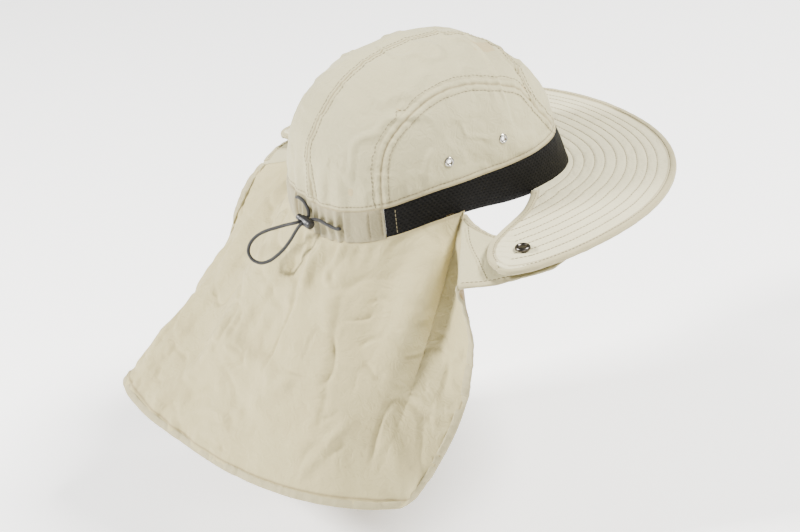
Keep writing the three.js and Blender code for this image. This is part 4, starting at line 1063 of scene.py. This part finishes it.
def flapCloth(place, share):  # with creases and crumpling on top of the large folds
    point, out = flapSurface(place, share)
    plan = flapPlan(place, share)
    x, down = plan[..., 0], plan[..., 1]
    warped = plan + 1.6 * np.stack([smoothNoise(point, 17, 51), smoothNoise(point, 17, 52)], -1)
    lift = 0 * x
    for height, width, line in flapCreases:
        stroke = flapPlan(*np.array(line).T)
        lift = lift + flapLook["creaseScale"] * height * bell(segmentDistance(warped, stroke), width)
    lift += flapLook["soft"] * (smoothNoise(point, 42, 53) * .45 + smoothNoise(point, 21, 54) * .4)
    crease = np.abs(smoothNoise(point * (1, 1, .7), 26, 55))
    lift += flapLook["creases"] * (.5 - ease(0, .2, crease)) * ease(.1, .7, smoothNoise(point, 50, 56) + .45)
    facet = np.abs(smoothNoise(point * (.8, 1, 1.3), 17, 60))
    facet = facet + .5 * np.abs(smoothNoise(point * (1.2, 1, .8), 11, 63))
    lift += flapLook["facets"] * (.45 - ease(0, .45, facet)) * ease(0, .6, smoothNoise(point, 38, 62) + .25)
    lift += flapLook["crumple"] * smoothNoise(point, 7.5, 57)
    gather = np.sin(x / 3.1 + 2.5 * smoothNoise(point, 25, 58))
    lift += flapLook["gather"] * gather * bell(down, 22) * bell(x + 10, 90)
    hem = np.minimum(flapLook["ribLength"] - down, flapLook["halfHem"] - np.abs(x))
    lift += .45 * smoothNoise(point, 5, 59) * bell(hem - 9, 7)
    return point + out * (lift * ease(0, 6, down))[..., None], out


def makeFlap():
    reach = 1 - flapLook["tuck"] / flapLook["halfHem"]
    place = np.linspace(-reach, reach, flapLook["columns"])[:, None]
    free = ease(.68, .74, np.abs(place))  # beside the casing the top edge ends under the tab
    first = flapLook["tabGap"] * free - flapLook["under"] * (1 - free)
    last = 1 - flapLook["tuck"] / flapLook["ribLength"]
    share = first + (last - first) * np.linspace(0, 1, flapLook["rows"])[None]
    grid, out = flapCloth(place, share)
    normals = gridNormals(grid)
    normals *= -np.sign((normals * out).sum(-1, keepdims=True))
    hem = np.minimum((1 - share) * flapLook["ribLength"], (1 - np.abs(place)) * flapLook["halfHem"])
    # painted shade: the seam mask darkens a line beside the tape and the top edge under the band
    seam = np.maximum(.95 * bell(hem - flapLook["tapeWidth"] - .4, .8), .6 * ease(.012, 0, share) + 0 * hem)
    half = flapLook["wall"] / 2
    # the inner side gets a seam value of -1: painted shade in a darker warm brown
    return addSheet("flapCloth", grid + normals * half, grid - normals * half, flapPlan(place, share), flapLitAndShadedCopy,
                    "cloth", ["neck_flap"], seam=seam, inner=-1.)


def flapRoute():  # places and shares along the free edge, from tab to tab
    start, turned = flapLook["start"], .985
    half = [(1, s) for s in np.linspace(0, turned, 90)] + [(1, turned + (1 - turned) * t) for t in (.5, 1)]
    half += [(1 - (1 - start) * (1 - math.cos(t)), 1) for t in np.linspace(0, np.pi / 2, 20)[1:]]
    half += [(a, 1) for a in np.linspace(start, 0, 150)[1:-1]]
    return np.array([(-a, s) for a, s in half] + [(0, 1)] + half[::-1])


def makeFlapTape():
    path = flapRoute()
    place, share = path[:, 0], path[:, 1]
    edge, out = flapCloth(place, share)
    corner = (np.abs(place) > flapLook["start"]) & (share > .9)
    onHem = (share == 1) & ~corner
    inside, _ = flapSurface(np.where(onHem, place, place * .965), np.where(onHem | corner, share * .97, share))
    base, _ = flapSurface(place, share)
    lengths = lengthsAlong(edge)
    want = np.linspace(0, lengths[-1], flapLook["tapeRings"])
    edge, inward, out = (sampleAt(want, lengths, values) for values in (edge, inside - base, out))
    for _ in range(12):
        inward = np.concatenate([inward[:1], (inward[:-2] + 2 * inward[1:-1] + inward[2:]) / 4, inward[-1:]])
    inward, normal = edgeFrame(edge, inward)
    normal *= np.sign((normal * out).sum(-1, keepdims=True))
    points, faces, uv = tape(edge, inward, normal, flapLook["tapeWidth"], flapLook["tapeThickness"], 61, .6)
    return addPiece("flapTape", points, faces, tapeFinish, "tape", ["flap_binding"], uv), (edge, inward, normal)


flapPiece = makeFlap()
flapTapePiece, flapEdge = makeFlapTape()
area = sum(face.area for face in flapPiece.data.polygons) / 2
print("flap made, area", round(area, 4))

tabLook = {"wall": 1.4, "tapeWidth": 5, "tapeThickness": 2.2, "tapeStitch": 4.1, "tapeRings": 150, "tuck": 2,
           "across": 60, "ahead": 72, "lap": .03, "lapRows": 9, "lapPlaces": (.725, .99), "lapEnd": .03,
           "stand": .3, "seamLine": ((0, .35, .6, .86, 1), (.0, .06, .15, .185, .2)), "stitchInset": .03}


def tabEdges(at, side):
    rows = np.column_stack([np.arange(5), tabRows])
    value = [along(rows, at * 4, k) for k in range(1, 7)]
    mirror = np.array([-side, 1, 1])
    return np.stack(value[:3], -1) * mirror, np.stack(value[3:], -1) * mirror


def makeTab(side, word):
    at = np.linspace(tabLook["lapEnd"], 1, tabLook["ahead"])
    ear, outer = tabEdges(at, side)
    share = np.linspace(0, 1, tabLook["across"])[None]
    start = (tabLook["tuck"] / np.linalg.norm(outer - ear, axis=1))[:, None]
    place = (start + (1 - 1.5 * start) * share)[..., None]
    grid = ear[:, None] * (1 - place) + outer[:, None] * place
    first, last = tabLook["lapPlaces"]  # the seam allowance lies on the flap
    lapShare = np.linspace(tabLook["lap"], 0, tabLook["lapRows"])[:, None]
    lap, out = flapCloth(side * (first + (last - first) * share), lapShare)
    grid = np.concatenate([lap - out * tabLook["stand"], grid])
    at = np.concatenate([np.zeros(tabLook["lapRows"]), at])[:, None]
    for _ in range(10):
        grid[3:20] = (grid[2:19] + 2 * grid[3:20] + grid[4:21]) / 4
    normals = gridNormals(grid)
    normals *= np.sign((normals * (-side * .2, .5, 1)).sum(-1, keepdims=True))
    soft = .8 * np.sin(np.pi * share) * smoothNoise(grid, 24, 71) + .15 * smoothNoise(grid, 7, 72)
    grid = grid + normals * (soft * ease(0, .15, at))[..., None]
    ridge = np.abs(at - np.interp(share, *tabLook["seamLine"])) + 1. * (at == 0)
    grid = grid - normals * (.25 * bell(ridge, .01))[..., None]
    half = tabLook["wall"] / 2
    # painted shade: the seam mask darkens the sewn seam ridge
    addSheet("tab." + word, grid + normals * half, grid - normals * half, arcLengthUv(grid), clothFinish, "cloth",
             ["flap_tab_" + word], seam=.6 * bell(ridge, .006))
    ear, outer = tabEdges(np.linspace(0, 1, tabLook["tapeRings"]), side)
    into = unit(outer - ear)
    lines = {}
    for kind, edge, inward, seed, nodes in (("earTape", ear, into, 73, ["ear_binding_" + word]),
                                            ("tipTape", outer, -into, 75, [])):
        flat, normal = edgeFrame(edge, inward)
        normal *= np.sign(normal[:, 2:])
        points, faces, uv = tape(edge, flat, normal, tabLook["tapeWidth"], tabLook["tapeThickness"], seed, .5)
        addPiece(kind + "." + word, points, faces, tapeFinish, "tape", nodes, uv)
        lines[kind + "." + word] = (edge, flat, normal)
    return lines


tabLines = {**makeTab(-1, "right"), **makeTab(1, "left")}
print("tabs made")

# snaps and eyelets
snapLook = {"x": -143.5, "y": 11.5, "top": 9.5, "under": -1.9, "radius": 5.6, "post": 1.8, "flange": 5,
            "sides": 64}
capShape = [(0, 1.55), (.3, 1.6), (.5, 1.66), (.56, 1.72), (.6, 2), (.66, 2.3), (.74, 2.4), (.83, 2.3), (.91, 2),
            (.97, 1.5), (1, .9), (1, .4), (.97, .1), (.9, 0)]  # shares of the radius, and how high
flangeShape = [(.95, 0), (1, -.3), (1, -.8), (.85, -1.05), (.55, -1.1), (.5, -.7), (0, -.7)]
eyeletLook = {"radius": 3.6, "hole": 1.6, "half": 1.3, "lip": .24, "rise": .6, "sides": 48}


def makeSnap(side, word):
    radius, top, under, post, flange = (snapLook[key] for key in ("radius", "top", "under", "post", "flange"))
    profile = [(radius * r, top + z) for r, z in capShape] + [(post, top), (post, under)]
    profile += [(flange * r, under + z) for r, z in flangeShape]
    place = (-side * snapLook["x"], snapLook["y"], 0)
    points, faces, uv = latheMesh(profile, snapLook["sides"], place, (0, 0, 1))
    addPiece("snapCap." + word, points, faces, darkNickelFinish, "snap_metal", ["snap_" + word], uv)


def makeEyelet(seat, name, node):
    r, hole, half, lip, sides = (eyeletLook[key] for key in ("radius", "hole", "half", "lip", "sides"))
    middle, wide = (hole + r) / 2, (r - hole) / 2
    bend = np.linspace(0, np.pi, 15)
    turn = [(hole, 0)] + [(middle - wide * math.cos(t), half * (.35 + .65 * math.sin(t))) for t in bend]
    turn = np.array(turn + [(r - .25, lip), (hole + .7, lip), (hole + .7, 0)])
    profile = np.concatenate([turn, (turn * (1, -1))[:0:-1]])
    place = seat["place"] - seat["outward"] * eyeletLook["rise"]
    points, faces, uv = latheMesh(profile, sides, place, seat["outward"])
    faces = [face for face in faces if max(face) < len(profile) * sides]  # no ends: the last row joins the first
    last = (len(profile) - 1) * sides
    faces += [[last + k, last + (k + 1) % sides, (k + 1) % sides, k] for k in range(sides)]
    addPiece(name, points, faces, nickelFinish, "eyelet_metal", [node], uv)


for word, side in (("right", -1), ("left", 1)):
    makeSnap(side, word)
for number, seat in enumerate(eyeletPlaces):
    word = ("right" if seat["side"] < 0 else "left", "rear" if number < 2 else "front")
    makeEyelet(seat, "eyeletRing." + ".".join(word), "eyelet_" + "_".join(word))
print("snaps and eyelets made")


def sewCrown():
    tree = surfaceOf("crownCloth")
    courses = []
    for side in (-1, 1):
        line = [(side * 200, y, z) for y, z in archLine[4:-4]]
        courses.append((castAt(tree, line, (-side, 0, 0)), crownLook["seamRows"]))
    back = [(np.interp(z, centreSeam[:, 0], centreSeam[:, 1]), 130, z) for z in np.arange(30, 119, 3.)]
    rear = [hit for hit in castAt(tree, back, (0, -1, 0)) if hit[0][1] > 55]
    over = castAt(tree, [(0, y, 200) for y in np.arange(55, -62, -3.)], (0, 0, -1))
    courses.append((rear + over, crownLook["centreRows"]))
    front = []
    for place, normal in castAt(tree, [(x, frontSeam, 200) for x in np.arange(-70, 71, 3.)], (0, 0, -1)):
        nearest = archLine[np.argmin(np.linalg.norm(archLine - place[1:], axis=1))]
        if np.linalg.norm(place[1:] - crownLook["core"]) > np.linalg.norm(nearest - crownLook["core"]) - .5:
            front.append((place, normal))
    courses.append((front, crownLook["centreRows"]))
    for hits, half in courses:
        line, out = (np.array(values) for values in zip(*hits))
        even = spread(np.concatenate([line, unit(out)], 1), int(len(line) * 1.5))
        line, out = even[:, :3], unit(even[:, 3:])
        side = unit(np.cross(unit(np.gradient(line, axis=0)), out))
        for sign in (-1, 1):
            addStitches(tree, line + side * half * sign, out)
    angle = np.arange(0, 361, 1.5)
    hem = headPoint(angle, bandEdge(angle, 2) + crownLook["hemRow"])
    addStitches(tree, hem, hem * (1, 1, .15))


def sewBand():
    tree = surfaceOf("meshBand", "cordCasing")
    for sign in (-1, 1):
        for at, gap in ((bandLook["stitchAngle"], .06), *((leg, .08) for leg in casingLook["legs"])):
            foot, head = bandEdge(at, 1), bandEdge(at, 2)
            line = headPoint(sign * at, foot + (head - foot) * np.linspace(gap, 1 - gap, 12))
            addStitches(tree, line, line * (1, 1, 0))


def sewBrim():
    tree = surfaceOf("brimCloth")
    right, outer, left = brimOutline(0)
    for row in brimLook["quiltRows"]:
        line = brimOutline(row)[1]
        line = spread(line, len(line))
        keep = segmentDistance(line, outer[::2]) > row - .4
        toEar = np.minimum(segmentDistance(line, right[::2]), segmentDistance(line, left[::2]))
        turn = np.degrees(np.arctan2(-line[:, 0], line[:, 1])) % 360
        band = headPoint(turn, bandEdge(turn, 1), -1.5)[:, :2]
        keep &= (toEar > brimLook["tapeWidth"] + .4) & (turn > 60) & (turn < 300)
        keep &= np.linalg.norm(line, axis=1) > np.linalg.norm(band, axis=1)
        ends = np.flatnonzero(np.diff(np.concatenate([[0], keep.astype(int), [0]])))
        for begin, stop in zip(ends[::2], ends[1::2]):
            if stop - begin > 6:
                run = np.concatenate([line[begin:stop], np.full((stop - begin, 1), 9.)], 1)
                addStitches(tree, run, np.tile(upright, (len(run), 1)))


def sewTapes():
    lines = [("brimTape", brimEdge, brimLook["tapeStitch"]), ("flapTape", flapEdge, flapLook["tapeStitch"])]
    lines += [(name, line, tabLook["tapeStitch"]) for name, line in tabLines.items()]
    for name, (edge, inward, normal), inset in lines:
        addStitches(surfaceOf(name), (edge + inward * inset)[2:-2:2], normal[2:-2:2])
    for word, side in (("right", -1), ("left", 1)):
        share = np.linspace(.08, .92, 40)
        ear, outer = tabEdges(np.interp(share, *tabLook["seamLine"]) + tabLook["stitchInset"], side)
        line = ear + (outer - ear) * share[:, None]
        addStitches(surfaceOf("tab." + word), line, np.tile(upright, (len(line), 1)))


def gatherThread(name):
    points, faces, uv = joinMeshes(threadParts)
    addPiece(name, points, faces, threadFinish, "tape", uv=uv)
    threadParts.clear()


sewCrown()
sewBand()
gatherThread("crownThread")
sewBrim()
gatherThread("brimThread")
sewTapes()
gatherThread("tapeThread")
print("threads made")

# floor and soft studio light
roomLook = {"floor": -.24, "size": 12, "colour": (250, 250, 250), "patch": (234, 234, 234), "glow": .5,
            "sky": .12, "backdrop": 1.6, "aim": (0, .02, 0)}


def makeRoom():
    material, tree, shader, coords = newMaterial("paleFloor", .9)
    crinkle = useGroup(tree, crinkleGroup, coords["Object"], Size=.4, Creases=0.)
    floor = tint(tree, linear(*roomLook["colour"]), crinkle.outputs["Patch"], .3, roomLook["patch"])
    tree.links.new(floor, shader.inputs["Base Color"])
    shader.inputs["Emission Color"].default_value = (1, 1, 1, 1)
    shader.inputs["Emission Strength"].default_value = roomLook["glow"]
    mesh = bpy.data.meshes.new("paleFloor")
    s, z = roomLook["size"], roomLook["floor"]
    mesh.from_pydata([(-s, -s, z), (s, -s, z), (s, s, z), (-s, s, z)], [], [(0, 1, 2, 3)])
    mesh.materials.append(material)
    floor = bpy.data.objects.new("paleFloor", mesh)
    bpy.context.scene.collection.objects.link(floor)
    world = bpy.data.worlds.new("paleRoom")
    world.use_nodes = True
    tree, sky = world.node_tree, world.node_tree.nodes["Background"]
    sky.inputs["Color"].default_value = (1, 1, 1, 1)
    seen = addNode(tree, "ShaderNodeLightPath")  # a pale backdrop that doesn't light the hat
    glow = mathNode(tree, "MULTIPLY_ADD", seen.outputs["Is Camera Ray"], roomLook["backdrop"], roomLook["sky"])
    tree.links.new(glow, sky.inputs["Strength"])
    bpy.context.scene.world = world


def addLight(name, place, size, watts, colour):
    data = bpy.data.lights.new(name, "AREA")
    data.shape, data.size, data.energy, data.color = "SQUARE", size, watts, colour
    lamp = bpy.data.objects.new(name, data)
    lamp.location = place
    lamp.rotation_euler = (Vector(roomLook["aim"]) - Vector(place)).to_track_quat("-Z", "Y").to_euler()
    bpy.context.scene.collection.objects.link(lamp)


makeRoom()
addLight("keyLight", (.75, 1.75, 1.2), .4, 165, (1, .985, .96))
addLight("topLight", (-.9, -1.5, 2.1), .8, 270, (1, .985, .96))
addLight("fillLight", (-2.2, .5, .5), 1.2, 18, (1, .95, .88))
print("room and lights made")
